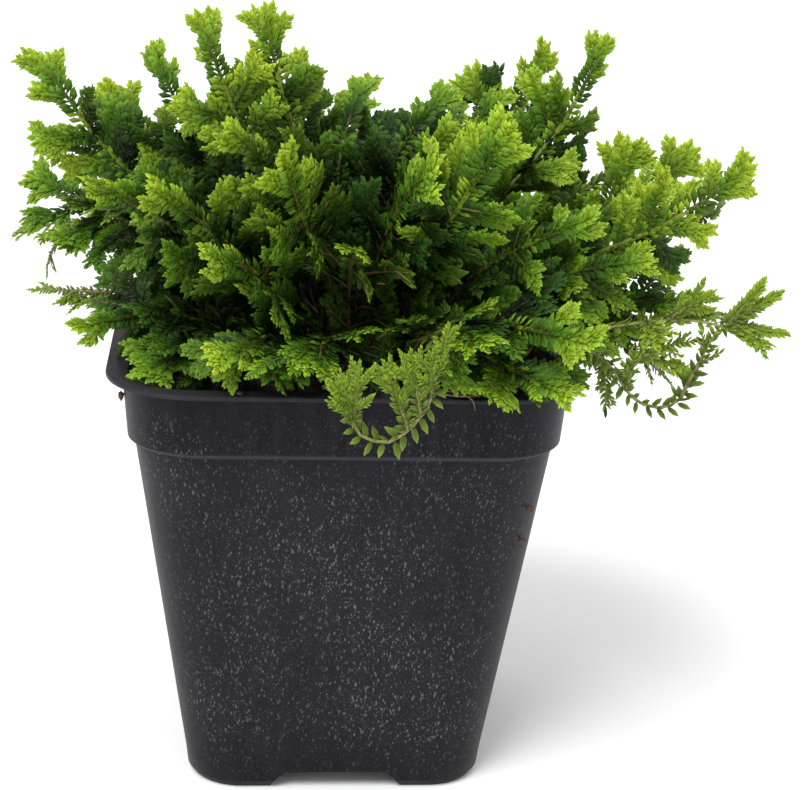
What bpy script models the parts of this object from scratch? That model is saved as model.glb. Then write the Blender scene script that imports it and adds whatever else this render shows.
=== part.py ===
"""A potted spikemoss: a square nursery pot, its potting mix and a mound of leafy sprays.

Metres, +Z up. The origin is on the ground under the middle of the pot. The pot's faces are square
to X and Y, and the front of the plant, with its hanging loop, looks along -Y.

Every spray grows from a plain hole in the potting mix and is one body: a stem whose side shoots
end in forked fans, and on the thin runners also small single leaves.
"""
import bisect
import math
import random

import bmesh
import bpy
import numpy as np
from mathutils import Matrix, Vector
from mathutils.bvhtree import BVHTree

MM = 0.001

# The pot: a square container with rounded corners, a flat lip and a deep collar
POT_HEIGHT = 85.4 * MM
LIP_HALF = 44.5 * MM
LIP_CORNER = 17.0 * MM
LIP_THICKNESS = 0.9 * MM
COLLAR_TOP_HALF = 41.4 * MM
COLLAR_LOW_HALF = 40.5 * MM
COLLAR_LOW = 72.0 * MM
COLLAR_EDGE = 0.9 * MM
COLLAR_CORNER = 13.2 * MM
BODY_TOP_HALF = 39.25 * MM
BODY_LOW_HALF = 29.5 * MM
BODY_LOW = 5.0 * MM
BODY_LOW_CORNER = 10.8 * MM
FOOT_HALF = 27.9 * MM
FOOT_CORNER = 9.4 * MM
FOOT_EASE_OUT = 1.2 * MM
FOOT_EASE_UP = 1.6 * MM
WALL = 1.0 * MM
INNER_STEP_ABOVE = 1.2 * MM
INNER_STEP_BELOW = 0.4 * MM
FLOOR_EASE = 1.3 * MM
CORNER_STEPS = 5
SHARP_ANGLE = math.radians(32)

# Under the pot a raised cross of channels leaves four corner feet, and the base has drain holes
CHANNEL_HALF = 12.8 * MM
CHANNEL_HEIGHT = 3.5 * MM
CHANNEL_ROUNDING = 1.4 * MM
BASE_THICKNESS = 1.3 * MM
DRAIN_RADIUS = 3.0 * MM
DRAIN_REACH = 19.0 * MM
DRAIN_SIDES = 10
CUT_MARGIN = 1.0 * MM

# The potting mix fills the pot to a little below the lip, clear of its walls and floor
GAP = 0.3 * MM
SIDE_GAP = 0.4 * MM
MIX_EDGE = 77.0 * MM
MIX_BRIM = 0.8 * MM
MIX_CROWN = 1.6 * MM
MIX_RELIEF = 0.6 * MM
MIX_WAVES = (4.3 * MM, 5.1 * MM)
MIX_RINGS = (0.95, 0.55)
HOLE_DEPTH = 7.0 * MM
HOLE_MARGIN = 0.45 * MM
HOLE_SIDES = 4

# Stems have four sides and taper a little towards their end
STEM_RADIUS = 0.75 * MM
THIN_STEM_RADIUS = 0.65 * MM
STEM_TAPER = 0.85
STEM_TOP = 80.5 * MM
STEM_STEP = 8.0 * MM
LEAST_RINGS = 6
THIN_STEM_STEP = 4.2 * MM

# A fan is a thin blade of three lobes, thickest at its palm and arched like an open hand.
# Reaches and widths are shares of its length, and chances are ranges that a fan is drawn from
FAN_LENGTH = 14.5 * MM
FAN_LENGTH_CHANCE = (0.9, 1.12)
FAN_PALM = 0.40
FAN_SPREAD = math.radians(52)
FAN_SPREAD_CHANCE = 0.06
FAN_LOBES = (0.52, 0.60, 0.52)
FAN_LOBE_CHANCE = (0.86, 1.12)
FAN_LOBE_WIDTH = 0.11
FAN_SHOULDERS = (0.62, 0.66)
FAN_CLEFT = 0.17
FAN_OUTER_CLEFT = 0.7
FAN_THICKNESS = 1.6 * MM
FAN_STALK_HALF = 0.42 * MM
FAN_DROOP = 0.16
FAN_DROOP_ACROSS = 1.6
FAN_LIFT_CHANCE = (-0.3, 0.2)

# Where fans sit on a stem, from its end down, and how far they stand off it
FAN_SPACING = 6.3 * MM
FIRST_FAN = 2.5 * MM
LOWEST_FAN = 6.0 * MM
END_FAN_OVERLAP = 1.5 * MM
FAN_ANGLE = math.radians(56)

# What is tried in turn for a fan until it clears its neighbours: degrees about the stem, and size
FAN_TRIES = ((0, 1.0), (24, 1.0), (-24, 1.0), (48, 0.95), (-48, 0.95), (0, 0.78), (32, 0.78), (-32, 0.78),
             (70, 0.8), (-70, 0.8), (0, 0.62), (45, 0.62), (-45, 0.62), (100, 0.7), (-100, 0.7))
CLEARANCE = 0.35 * MM

# The small leaves of the thin runners
LEAF_LENGTH = 3.6 * MM
LEAF_HALF_WIDTH = 0.95 * MM
LEAF_HALF_THICKNESS = 0.36 * MM
LEAF_WIDEST = 0.45
LEAF_PITCH = 3.3 * MM
LEAF_ANGLE = math.radians(58)
LEAF_TURN_CHANCE = 0.5
FIRST_LEAF = 9.0 * MM
LAST_LEAF = 5.0 * MM

# How the mound is laid out: roots stand under their tips, closer to the middle of the pot
ROOT_LIMIT = 34.0 * MM
ROOT_SPACING = 6.6 * MM
ROOT_ROUNDS = 200
ROOT_SHARE_LOW = 0.48
ROOT_SHARE_HIGH = 0.34
RUNNER_ROOT_SHARE = 0.92
MOUND_LOW = 85.0 * MM
MOUND_HIGH = 150.0 * MM
SEED = 11

# How a stem runs: how steeply it ends at the foot and at the top of the mound, the pulls at the
# two ends of its arch as shares of its span, and which way its leaves face
RISE_LOW = math.radians(-12)
RISE_HIGH = math.radians(74)
CLIMB_SHARE = 0.45
LEAST_CLIMB = 13.0 * MM
ARRIVAL_SHARE = 0.35
END_FAN_REACH = 0.8 * FAN_LENGTH
BACK_FROM = 50.0 * MM
FACE_OUT = 0.4
FACE_VIEWER = 0.7
FACE_UP = 0.8
RUNNER_FACE_VIEWER = 0.6
TWIST_CHANCE = 0.6
RUNNER_TWIST_CHANCE = 0.4
ARCH_STEPS = 36
RUNNER_STEPS = 10

# Leafy sprays: name, where the topmost fan ends (mm), and how many fans the spray carries
FULL_SPRAYS = (
    ("spray_left_1", (-58, 6, 137), 5),
    ("spray_left_2", (-46, 20, 130), 4),
    ("spray_left_3", (-47, -18, 118), 5),
    ("spray_left_4", (-49, -24, 93), 4),
    ("spray_left_5", (-38, -34, 88), 3),
    ("spray_left_6", (-61, 20, 112), 5),
    ("spray_top_1", (-38, 4, 139), 5),
    ("spray_top_2", (-28, -4, 146), 5),
    ("spray_top_3", (-17, -6, 149), 4),
    ("spray_top_4", (-9, 16, 137), 4),
    ("spray_top_5", (3, 6, 135), 4),
    ("spray_top_6", (19, 2, 133), 4),
    ("spray_top_7", (31, 12, 132), 4),
    ("spray_top_8", (40, 16, 140), 5),
    ("spray_top_9", (49, -2, 144), 5),
    ("spray_right_1", (59, 6, 122), 5),
    ("spray_right_2", (66, -9, 124), 5),
    ("spray_right_3", (71, -28, 124), 5),
    ("spray_right_4", (66, -20, 98), 5),
    ("spray_right_5", (54, -27, 108), 5),
    ("spray_front_1", (-34, -36, 120), 5),
    ("spray_front_2", (-23, -46, 111), 5),
    ("spray_front_3", (-12, -44, 125), 5),
    ("spray_front_4", (-21, -51, 95), 4),
    ("spray_front_5", (-7, -53, 94), 4),
    ("spray_front_6", (0, -44, 113), 5),
    ("spray_front_7", (10, -42, 125), 5),
    ("spray_front_8", (23, -48, 132), 6),
    ("spray_front_9", (22, -54, 99), 5),
    ("spray_front_10", (38, -50, 99), 5),
    ("spray_front_11", (41, -36, 117), 5),
    ("spray_front_12", (36, -53, 89), 3),
    ("spray_middle_1", (-20, -20, 128), 4),
    ("spray_middle_2", (17, -18, 128), 4),
    ("spray_back_1", (-44, 44, 117), 4),
    ("spray_back_2", (-22, 56, 110), 5),
    ("spray_back_3", (2, 59, 108), 4),
    ("spray_back_4", (26, 55, 111), 5),
    ("spray_back_5", (48, 44, 113), 4),
    ("spray_back_6", (62, 26, 106), 4),
    ("spray_back_7", (-22, 36, 130), 3),
    ("spray_back_8", (4, 34, 131), 3),
    ("spray_back_9", (27, 34, 129), 3),
)

# Thin runners: name, the points that the stem passes after it leaves the mix (mm), and its fans
RUNNERS = (
    ("runner_right_1", ((33, -33, 92), (47, -46, 100), (57, -53, 103), (63, -57, 103)), 3),
    ("runner_right_2", ((34, -27, 91), (45, -37, 92), (52, -39, 84), (59, -39, 83), (62, -38, 87)), 1),
    ("runner_right_3", ((37, -10, 90), (47, -13, 92), (54, -17, 88), (60, -19, 86)), 1),
    ("runner_left_1", ((-32, 27, 92), (-45, 38, 97), (-54, 44, 97), (-62, 49, 95)), 3),
    ("runner_left_2", ((-30, -10, 90), (-42, -10, 95), (-47, -9, 95), (-51, -9, 94)), 1),
    ("runner_front_1", ((12, -33, 92), (14, -47, 97), (13, -55, 89), (7, -57, 82), (1, -57.5, 82.5),
                        (-1, -58, 86)), 1),
    ("runner_back_1", ((4, 30, 90), (7, 42, 94), (9, 49, 93), (11, 55, 91)), 2),
)


def clear_scene():
    for thing in list(bpy.data.objects):
        bpy.data.objects.remove(thing, do_unlink=True)


def material(name, colour, roughness):
    made = bpy.data.materials.new(name)
    made.use_nodes = True
    shader = made.node_tree.nodes["Principled BSDF"]
    shader.inputs["Base Color"].default_value = (*colour, 1.0)
    shader.inputs["Roughness"].default_value = roughness
    shader.inputs["Metallic"].default_value = 0.0
    made.diffuse_color = (*colour, 1.0)
    return made


def add_object(name, points, faces, finish):
    mesh = bpy.data.meshes.new(name)
    mesh.from_pydata([tuple(point) for point in points], [], faces)
    mesh.validate()
    mesh.materials.append(finish)
    thing = bpy.data.objects.new(name, mesh)
    bpy.context.scene.collection.objects.link(thing)
    return thing


# Rings and skins

def rounded_square(half, corner, z):
    """Points of a square with round corners, anticlockwise seen from above."""
    points = []
    for quarter in range(4):
        middle = math.radians(45 + 90 * quarter)
        centre_x = (half - corner) * math.copysign(1, math.cos(middle))
        centre_y = (half - corner) * math.copysign(1, math.sin(middle))
        for step in range(CORNER_STEPS + 1):
            angle = math.radians(90 * (quarter + step / CORNER_STEPS))
            points.append((centre_x + corner * math.cos(angle), centre_y + corner * math.sin(angle), z))
    return points


def skin(rings):
    """Closed body through rings of equal count that run anticlockwise, from the lowest up."""
    count = len(rings[0])
    points = [point for ring in rings for point in ring]
    faces = [tuple(reversed(range(count)))]
    for low in range(len(rings) - 1):
        for side in range(count):
            after = (side + 1) % count
            faces.append((low * count + side, low * count + after,
                          (low + 1) * count + after, (low + 1) * count + side))
    top = (len(rings) - 1) * count
    faces.append(tuple(range(top, top + count)))
    return points, faces


def prism(x, y, radius, low, high, sides):
    rings = []
    for z in (low, high):
        rings.append([(x + radius * math.cos(2 * math.pi * side / sides),
                       y + radius * math.sin(2 * math.pi * side / sides), z) for side in range(sides)])
    return skin(rings)


def combine(thing, shapes, operation, solver="EXACT"):
    """Add shapes to a body, or cut them from it, with one Boolean on a collection."""
    group = bpy.data.collections.new(thing.name + "_tools")
    bpy.context.scene.collection.children.link(group)
    for points, faces in shapes:
        tool = add_object(thing.name + "_tool", points, faces, thing.data.materials[0])
        bpy.context.scene.collection.objects.unlink(tool)
        group.objects.link(tool)
    boolean = thing.modifiers.new("Combine", "BOOLEAN")
    boolean.operation = operation
    boolean.solver = solver
    boolean.operand_type = "COLLECTION"
    boolean.collection = group
    result = bpy.data.meshes.new_from_object(thing.evaluated_get(bpy.context.evaluated_depsgraph_get()))
    thing.modifiers.remove(boolean)
    keep_main_body(result)
    thing.data = result
    for tool in list(group.objects):
        bpy.data.objects.remove(tool, do_unlink=True)
    bpy.data.collections.remove(group)


def keep_main_body(mesh):
    """Drop loose scraps, and fill sealed pockets by dropping their inner skin."""
    shape = bmesh.new()
    shape.from_mesh(mesh)
    waiting = set(shape.verts)
    bodies = []
    while waiting:
        body = {waiting.pop()}
        edge = set(body)
        while edge:
            reached = {link.other_vert(vertex) for vertex in edge for link in vertex.link_edges}
            edge = reached - body
            body |= edge
        waiting -= body
        bodies.append(body)
    bodies.sort(key=len, reverse=True)
    for body in bodies[1:]:
        bmesh.ops.delete(shape, geom=list(body), context="VERTS")
    shape.to_mesh(mesh)
    shape.free()


# The pot

def cross_channel():
    """The raised cross under the base, with its upper edges chamfered."""
    rings = []
    shoulder = CHANNEL_HEIGHT - CHANNEL_ROUNDING
    for inset, z in ((0, -CUT_MARGIN), (0, shoulder), (CHANNEL_ROUNDING, CHANNEL_HEIGHT)):
        half = CHANNEL_HALF - inset
        outline = []
        for quarter in range(4):
            turn = Matrix.Rotation(math.radians(90 * quarter), 2)
            for corner in ((LIP_HALF, -half), (LIP_HALF, half), (half, half)):
                x, y = turn @ Vector(corner)
                outline.append((x, y, z))
        rings.append(outline)
    return skin(rings)


def build_pot(finish):
    outer = (
        (FOOT_HALF, FOOT_CORNER, 0.0),
        (FOOT_HALF + FOOT_EASE_OUT, FOOT_CORNER + FOOT_EASE_OUT, FOOT_EASE_UP),
        (BODY_LOW_HALF, BODY_LOW_CORNER, BODY_LOW),
        (BODY_TOP_HALF, COLLAR_CORNER, COLLAR_LOW),
        (COLLAR_LOW_HALF, COLLAR_CORNER, COLLAR_LOW + COLLAR_EDGE),
        (COLLAR_TOP_HALF, COLLAR_CORNER, POT_HEIGHT - LIP_THICKNESS),
        (LIP_HALF, LIP_CORNER, POT_HEIGHT - LIP_THICKNESS),
        (LIP_HALF, LIP_CORNER, POT_HEIGHT),
    )
    rings = [rounded_square(*ring) for ring in outer]
    rings += [rounded_square(*ring) for ring in inner_profile()]
    points, faces = skin(rings)
    pot = add_object("pot", points, faces, finish)
    combine(pot, [cross_channel()], "DIFFERENCE")
    combine(pot, drain_cutters(), "DIFFERENCE")
    pot.data.shade_smooth()
    pot.data.set_sharp_from_angle(angle=SHARP_ANGLE)
    return pot


def inner_profile():
    """The pot's inside from the lip down to the floor, as half width, corner radius and height."""
    corner = COLLAR_CORNER - WALL
    floor = CHANNEL_HEIGHT + BASE_THICKNESS
    return (
        (COLLAR_TOP_HALF - WALL, corner, POT_HEIGHT),
        (COLLAR_LOW_HALF - WALL, corner, COLLAR_LOW + INNER_STEP_ABOVE),
        (BODY_TOP_HALF - WALL, corner, COLLAR_LOW - INNER_STEP_BELOW),
        (BODY_LOW_HALF - WALL, BODY_LOW_CORNER - WALL, floor + FLOOR_EASE),
        (BODY_LOW_HALF - WALL - FLOOR_EASE, BODY_LOW_CORNER - WALL, floor),
    )


def drain_cutters():
    floor = CHANNEL_HEIGHT + BASE_THICKNESS
    places = [(0.0, 0.0)]
    for quarter in range(4):
        angle = math.radians(90 * quarter)
        places.append((DRAIN_REACH * math.cos(angle), DRAIN_REACH * math.sin(angle)))
    return [prism(x, y, DRAIN_RADIUS, CHANNEL_HEIGHT - CUT_MARGIN, floor + CUT_MARGIN, DRAIN_SIDES)
            for x, y in places]


# The potting mix

def mix_height(x, y):
    """Height of the mix's top: a low crown with gentle bumps."""
    away = max(abs(x), abs(y)) / COLLAR_LOW_HALF
    bumps = math.sin(x / MIX_WAVES[0]) * math.cos(y / MIX_WAVES[1])
    return MIX_EDGE + MIX_CROWN * (1 - away * away) + MIX_RELIEF * bumps


def build_mix(finish, plans):
    edge, collar, body, low, floor = inner_profile()
    rise = (MIX_EDGE - collar[2]) / (edge[2] - collar[2])
    brim_half = collar[0] + (edge[0] - collar[0]) * rise
    walls = (
        (floor[0] - GAP, floor[1], floor[2] + GAP),
        (low[0] - SIDE_GAP, low[1], low[2] + GAP),
        (body[0] - SIDE_GAP, body[1], body[2]),
        (collar[0] - SIDE_GAP, collar[1], collar[2] + SIDE_GAP),
        (brim_half - SIDE_GAP, collar[1], MIX_EDGE - MIX_BRIM),
    )
    rings = [rounded_square(*ring) for ring in walls]
    for share in MIX_RINGS:
        flat = rounded_square(share * walls[-1][0], share * walls[-1][1], 0.0)
        rings.append([(x, y, mix_height(x, y)) for x, y, _ in flat])
    points, faces = skin(rings)
    mix = add_object("potting_mix", points, faces, finish)
    holes = []
    for plan in plans:
        holes.append(prism(plan["root"].x, plan["root"].y, plan["radius"] + HOLE_MARGIN,
                           MIX_EDGE - HOLE_DEPTH, STEM_TOP, HOLE_SIDES))
    combine(mix, holes, "DIFFERENCE")


# Routes that stems follow

class Route:
    """A smooth line with a length along it, and frames that turn no more than the line does."""

    def __init__(self, points, facing):
        self.points = points
        self.along = [0.0]
        for before, after in zip(points, points[1:]):
            self.along.append(self.along[-1] + (after - before).length)
        self.length = self.along[-1]
        last = len(points) - 1
        self.ahead = [(points[min(index + 1, last)] - points[max(index - 1, 0)]).normalized()
                      for index in range(len(points))]
        normal = facing - facing.dot(self.ahead[-1]) * self.ahead[-1]
        self.normals = [normal.normalized()]
        for before, after in zip(reversed(self.ahead[:-1]), reversed(self.ahead[1:])):
            turned = self.normals[0].copy()
            turned.rotate(after.rotation_difference(before))
            self.normals.insert(0, turned)

    def frame(self, distance):
        """Matrix with X along the line, Y to its side and Z towards the leaves' upper face."""
        distance = min(max(distance, 0.0), self.length)
        index = min(bisect.bisect_right(self.along, distance) - 1, len(self.points) - 2)
        share = (distance - self.along[index]) / (self.along[index + 1] - self.along[index])
        ahead = self.ahead[index].lerp(self.ahead[index + 1], share).normalized()
        normal = self.normals[index].lerp(self.normals[index + 1], share)
        normal = (normal - normal.dot(ahead) * ahead).normalized()
        place = Matrix((ahead, normal.cross(ahead), normal)).transposed().to_4x4()
        place.translation = self.points[index].lerp(self.points[index + 1], share)
        return place


def bezier(start, start_pull, end_pull, end, count):
    line = []
    for step in range(count + 1):
        t = step / count
        line.append(start * (1 - t) ** 3 + start_pull * (3 * t * (1 - t) ** 2)
                    + end_pull * (3 * t * t * (1 - t)) + end * t ** 3)
    return line


def through(points, count):
    """A smooth line through points, by cubic stretches whose slopes come from the neighbours."""
    line = [points[0]]
    for index in range(len(points) - 1):
        start = points[index]
        end = points[index + 1]
        before = points[max(index - 1, 0)]
        after = points[min(index + 2, len(points) - 1)]
        piece = bezier(start, start + (end - before) / 6, end - (after - start) / 6, end, count)
        line.extend(piece[1:])
    return line


def look_direction(place):
    """Leaves look forwards, and those at the back look backwards."""
    return Vector((0, 1 if place.y > BACK_FROM else -1, 0))


def mound_share(height):
    """How far up the mound a height is, from 0 at its foot to 1 at its top."""
    return min(max((height - MOUND_LOW) / (MOUND_HIGH - MOUND_LOW), 0.0), 1.0)


def full_route(tip, root, twist):
    """From the mix straight up, then outwards in one arch to the tip."""
    outward = Vector((tip.x, tip.y, 0.0)).normalized()
    rise = RISE_LOW + (RISE_HIGH - RISE_LOW) * mound_share(tip.z)
    arrival = outward * math.cos(rise) + Vector((0, 0, math.sin(rise)))
    neck = Vector((root.x, root.y, STEM_TOP))
    end = tip - arrival * END_FAN_REACH
    span = (end - neck).length
    climb = max(CLIMB_SHARE * span, LEAST_CLIMB)
    line = bezier(neck, neck + Vector((0, 0, climb)), end - arrival * (ARRIVAL_SHARE * span), end, ARCH_STEPS)
    facing = outward * FACE_OUT + look_direction(tip) * FACE_VIEWER + Vector((0, 0, FACE_UP))
    facing.rotate(Matrix.Rotation(twist, 3, arrival))
    return Route(line, facing)


def runner_route(points, root, twist):
    neck = Vector((root.x, root.y, STEM_TOP))
    line = through([neck] + [Vector(point) * MM for point in points], RUNNER_STEPS)
    last = line[-1] - line[-4]
    facing = Vector((0, 0, FACE_UP)) + look_direction(line[-1]) * RUNNER_FACE_VIEWER
    facing.rotate(Matrix.Rotation(twist, 3, last.normalized()))
    return Route(line, facing)


# The shapes that make a spray

def stem_shape(route, radius, step):
    """A four-sided tube from the hole in the mix to the end of the route."""
    foot = route.points[0]
    bottom = MIX_EDGE - HOLE_DEPTH + GAP
    rings = []
    for z in (bottom, STEM_TOP):
        rings.append([Vector((foot.x + radius * math.cos(math.pi / 2 * side),
                              foot.y + radius * math.sin(math.pi / 2 * side), z)) for side in range(4)])
    shift = best_start(route, rings[-1])
    count = max(round(route.length / step), 2)
    for index in range(1, count + 1):
        share = index / count
        rings.append(stem_ring(route, route.length * share, radius * (1 - share * (1 - STEM_TAPER)), shift))
    return skin(rings)


def best_start(route, ring):
    """Which corner of the ring comes first, so that the tube's sides don't twist."""
    turn = route.frame(0.0).to_3x3()
    offsets = [turn @ Vector(corner) for corner in ring_corners(1.0)]
    middle = sum(ring, Vector()) / 4
    scores = []
    for shift in range(4):
        scores.append(sum((ring[side] - middle).dot(offsets[(side + shift) % 4]) for side in range(4)))
    return scores.index(max(scores))


def ring_corners(radius):
    """Corners round a stem, anticlockwise seen against its growth, with flats to its sides."""
    flat = radius * math.sqrt(0.5)
    return ((0.0, flat, -flat), (0.0, flat, flat), (0.0, -flat, flat), (0.0, -flat, -flat))


def stem_ring(route, distance, radius, shift):
    place = route.frame(distance)
    corners = ring_corners(radius)
    return [place @ Vector(corners[(side + shift) % 4]) for side in range(4)]


def fan_shape(place, length, draw):
    """A blade of three pointed lobes with a shoulder on each flank, its root a small square."""
    palm = FAN_PALM * length
    turns = [(index - 1) * FAN_SPREAD + draw.uniform(-FAN_SPREAD_CHANCE, FAN_SPREAD_CHANCE)
             for index in range(3)]
    clefts = [turns[0] - FAN_OUTER_CLEFT * FAN_SPREAD, (turns[0] + turns[1]) / 2,
              (turns[1] + turns[2]) / 2, turns[2] + FAN_OUTER_CLEFT * FAN_SPREAD]
    cleft_reach = FAN_CLEFT * length
    width = FAN_LOBE_WIDTH * length
    outline = []
    for turn, cleft, share in zip(turns, clefts, FAN_LOBES):
        outline.append((palm + cleft_reach * math.cos(cleft), cleft_reach * math.sin(cleft)))
        lobe = share * length * draw.uniform(*FAN_LOBE_CHANCE)
        for forward, aside in ((FAN_SHOULDERS[0], -width), (1.0, 0.0), (FAN_SHOULDERS[1], width)):
            outline.append((palm + lobe * forward * math.cos(turn) - aside * math.sin(turn),
                            lobe * forward * math.sin(turn) + aside * math.cos(turn)))
    outline.append((palm + cleft_reach * math.cos(clefts[3]), cleft_reach * math.sin(clefts[3])))
    half = 0.5 * FAN_THICKNESS
    flat = [(0.0, -FAN_STALK_HALF, 0.0), (0.0, 0.0, FAN_STALK_HALF), (0.0, FAN_STALK_HALF, 0.0),
            (0.0, 0.0, -FAN_STALK_HALF), (palm, 0.0, half), (palm, 0.0, -half)]
    first = len(flat)
    flat.extend((u, v, 0.0) for u, v in outline)
    last = len(flat) - 1
    faces = [(0, 1, 2), (0, 2, 3), (0, first, 4), (0, 4, 1), (1, 4, 2), (2, 4, last),
             (0, 5, first), (0, 3, 5), (3, 2, 5), (2, last, 5)]
    for corner in range(first, last):
        faces.append((4, corner, corner + 1))
        faces.append((5, corner + 1, corner))
    points = []
    for u, v, w in flat:
        sag = FAN_DROOP * (u * u + FAN_DROOP_ACROSS * v * v) / length
        points.append(place @ Vector((u, v, w - sag)))
    return points, faces


def leaf_shape(place):
    """One small leaf: a thin double-faced diamond, its root inside the stem."""
    middle = LEAF_WIDEST * LEAF_LENGTH
    flat = ((0, 0, 0), (middle, -LEAF_HALF_WIDTH, 0), (LEAF_LENGTH, 0, 0), (middle, LEAF_HALF_WIDTH, 0),
            (middle, 0, LEAF_HALF_THICKNESS), (middle, 0, -LEAF_HALF_THICKNESS))
    faces = []
    for corner in range(4):
        after = (corner + 1) % 4
        faces.append((corner, after, 4))
        faces.append((after, corner, 5))
    return [place @ Vector(point) for point in flat], faces


# Keeping neighbours clear of each other

class Solid:
    """A placed shape with what is needed to test others against it."""

    def __init__(self, owner, shape):
        self.owner = owner
        self.points, self.faces = shape
        triangles = []
        for face in self.faces:
            triangles.extend((face[0], face[step], face[step + 1]) for step in range(1, len(face) - 1))
        self.tree = BVHTree.FromPolygons(self.points, triangles, all_triangles=True)
        spots = np.array([tuple(point) for point in self.points])
        self.low = spots.min(axis=0) - CLEARANCE
        self.high = spots.max(axis=0) + CLEARANCE

    def near(self, other):
        return bool((self.low <= other.high).all() and (other.low <= self.high).all())

    def touches(self, other):
        if not self.near(other):
            return False
        if self.tree.overlap(other.tree):
            return True
        for one, two in ((self, other), (other, self)):
            for point in one.points:
                if two.tree.find_nearest(point, CLEARANCE)[0] is not None:
                    return True
        return False

    def clears(self, placed):
        return not any(other.owner != self.owner and self.touches(other) for other in placed)


def fan_place(route, order, turn, lift):
    """Where a fan leaves its stem: the first at the end, the others aside by turns."""
    if order == 0:
        return route.frame(route.length - END_FAN_OVERLAP) @ Matrix.Rotation(turn, 4, "X")
    side = 1 if order % 2 else -1
    place = route.frame(fan_distance(route, order))
    tilt = Matrix.Rotation(turn, 4, "X") @ Matrix.Rotation(side * FAN_ANGLE, 4, "Z")
    return place @ tilt @ Matrix.Rotation(lift, 4, "Y")


def fan_distance(route, order):
    return route.length - FIRST_FAN - FAN_SPACING * order


def place_fan(name, placed, make):
    """Try a fan as drawn, then turned and smaller, and take the first that clears the neighbours."""
    for turn, scale in FAN_TRIES:
        solid = Solid(name, make(math.radians(turn), scale))
        if solid.clears(placed):
            return solid
    return None


# The layout

def spread_roots(wanted):
    """Push roots apart until each has room for its hole, and keep them inside the pot."""
    spots = np.array([[root.x, root.y] for root in wanted])
    for _ in range(ROOT_ROUNDS):
        moved = False
        for one in range(len(spots)):
            for two in range(one + 1, len(spots)):
                apart = spots[two] - spots[one]
                distance = float(np.linalg.norm(apart))
                if distance < ROOT_SPACING:
                    push = apart / distance * (ROOT_SPACING - distance) / 2
                    spots[one] -= push
                    spots[two] += push
                    moved = True
        spots = np.clip(spots, -ROOT_LIMIT, ROOT_LIMIT)
        if not moved:
            break
    return [Vector((float(x), float(y), 0.0)) for x, y in spots]


def wanted_root(tip):
    share = ROOT_SHARE_LOW + (ROOT_SHARE_HIGH - ROOT_SHARE_LOW) * mound_share(tip.z)
    return Vector((tip.x * share, tip.y * share, 0.0))


def plan_sprays():
    """Every spray's root, route, stem and number of fans."""
    draw = random.Random(SEED)
    tips = [Vector(tip) * MM for _, tip, _ in FULL_SPRAYS]
    starts = [Vector(points[0]) * MM for _, points, _ in RUNNERS]
    roots = spread_roots([wanted_root(tip) for tip in tips] + [start * RUNNER_ROOT_SHARE for start in starts])
    plans = []
    for (name, _, fans), tip, root in zip(FULL_SPRAYS, tips, roots):
        route = full_route(tip, root, draw.uniform(-TWIST_CHANCE, TWIST_CHANCE))
        plans.append({"name": name, "root": root, "route": route, "fans": fans, "radius": STEM_RADIUS,
                      "thin": False})
    for (name, points, fans), root in zip(RUNNERS, roots[len(tips):]):
        route = runner_route(points, root, draw.uniform(-RUNNER_TWIST_CHANCE, RUNNER_TWIST_CHANCE))
        plans.append({"name": name, "root": root, "route": route, "fans": fans,
                      "radius": THIN_STEM_RADIUS, "thin": True})
    return plans


def side_leaves(route, draw):
    """Small leaves on alternate sides of a thin runner, short of its end fan."""
    leaves = []
    distance = FIRST_LEAF
    side = 1
    while distance < route.length - LAST_LEAF:
        turn = draw.uniform(-LEAF_TURN_CHANCE, LEAF_TURN_CHANCE)
        place = route.frame(distance) @ Matrix.Rotation(turn, 4, "X")
        leaves.append(leaf_shape(place @ Matrix.Rotation(side * LEAF_ANGLE, 4, "Z")))
        distance += LEAF_PITCH
        side = -side
    return leaves


def grow(plans, obstacles):
    """Place all stems first, then the fans, end fans before side fans, then the single leaves."""
    placed = list(obstacles)
    shapes = {plan["name"]: [] for plan in plans}
    draw = random.Random(SEED + 1)
    for plan in plans:
        route = plan["route"]
        step = THIN_STEM_STEP if plan["thin"] else min(STEM_STEP, route.length / LEAST_RINGS)
        stem = Solid(plan["name"], stem_shape(route, plan["radius"], step))
        if not stem.clears(placed):
            raise RuntimeError("the stem of " + plan["name"] + " crosses another piece")
        placed.append(stem)
        shapes[plan["name"]].append((stem.points, stem.faces))
    for order in range(max(plan["fans"] for plan in plans)):
        for plan in plans:
            route = plan["route"]
            if order >= plan["fans"] or fan_distance(route, order) < LOWEST_FAN:
                continue
            size = FAN_LENGTH * draw.uniform(*FAN_LENGTH_CHANCE)
            lift = draw.uniform(*FAN_LIFT_CHANCE)
            seed = draw.random()

            def make(turn, scale, route=route, order=order, size=size, lift=lift, seed=seed):
                return fan_shape(fan_place(route, order, turn, lift), size * scale, random.Random(seed))

            fan = place_fan(plan["name"], placed, make)
            if fan is None:
                print("fan left out:", plan["name"], order)
                continue
            placed.append(fan)
            shapes[plan["name"]].append((fan.points, fan.faces))
    for plan in plans:
        if plan["thin"]:
            for shape in side_leaves(plan["route"], draw):
                leaf = Solid(plan["name"], shape)
                if leaf.clears(placed):
                    placed.append(leaf)
                    shapes[plan["name"]].append(shape)
    return shapes


def solid_of(thing):
    mesh = thing.data
    points = [vertex.co.copy() for vertex in mesh.vertices]
    faces = [tuple(polygon.vertices) for polygon in mesh.polygons]
    return Solid(thing.name, (points, faces))


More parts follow.
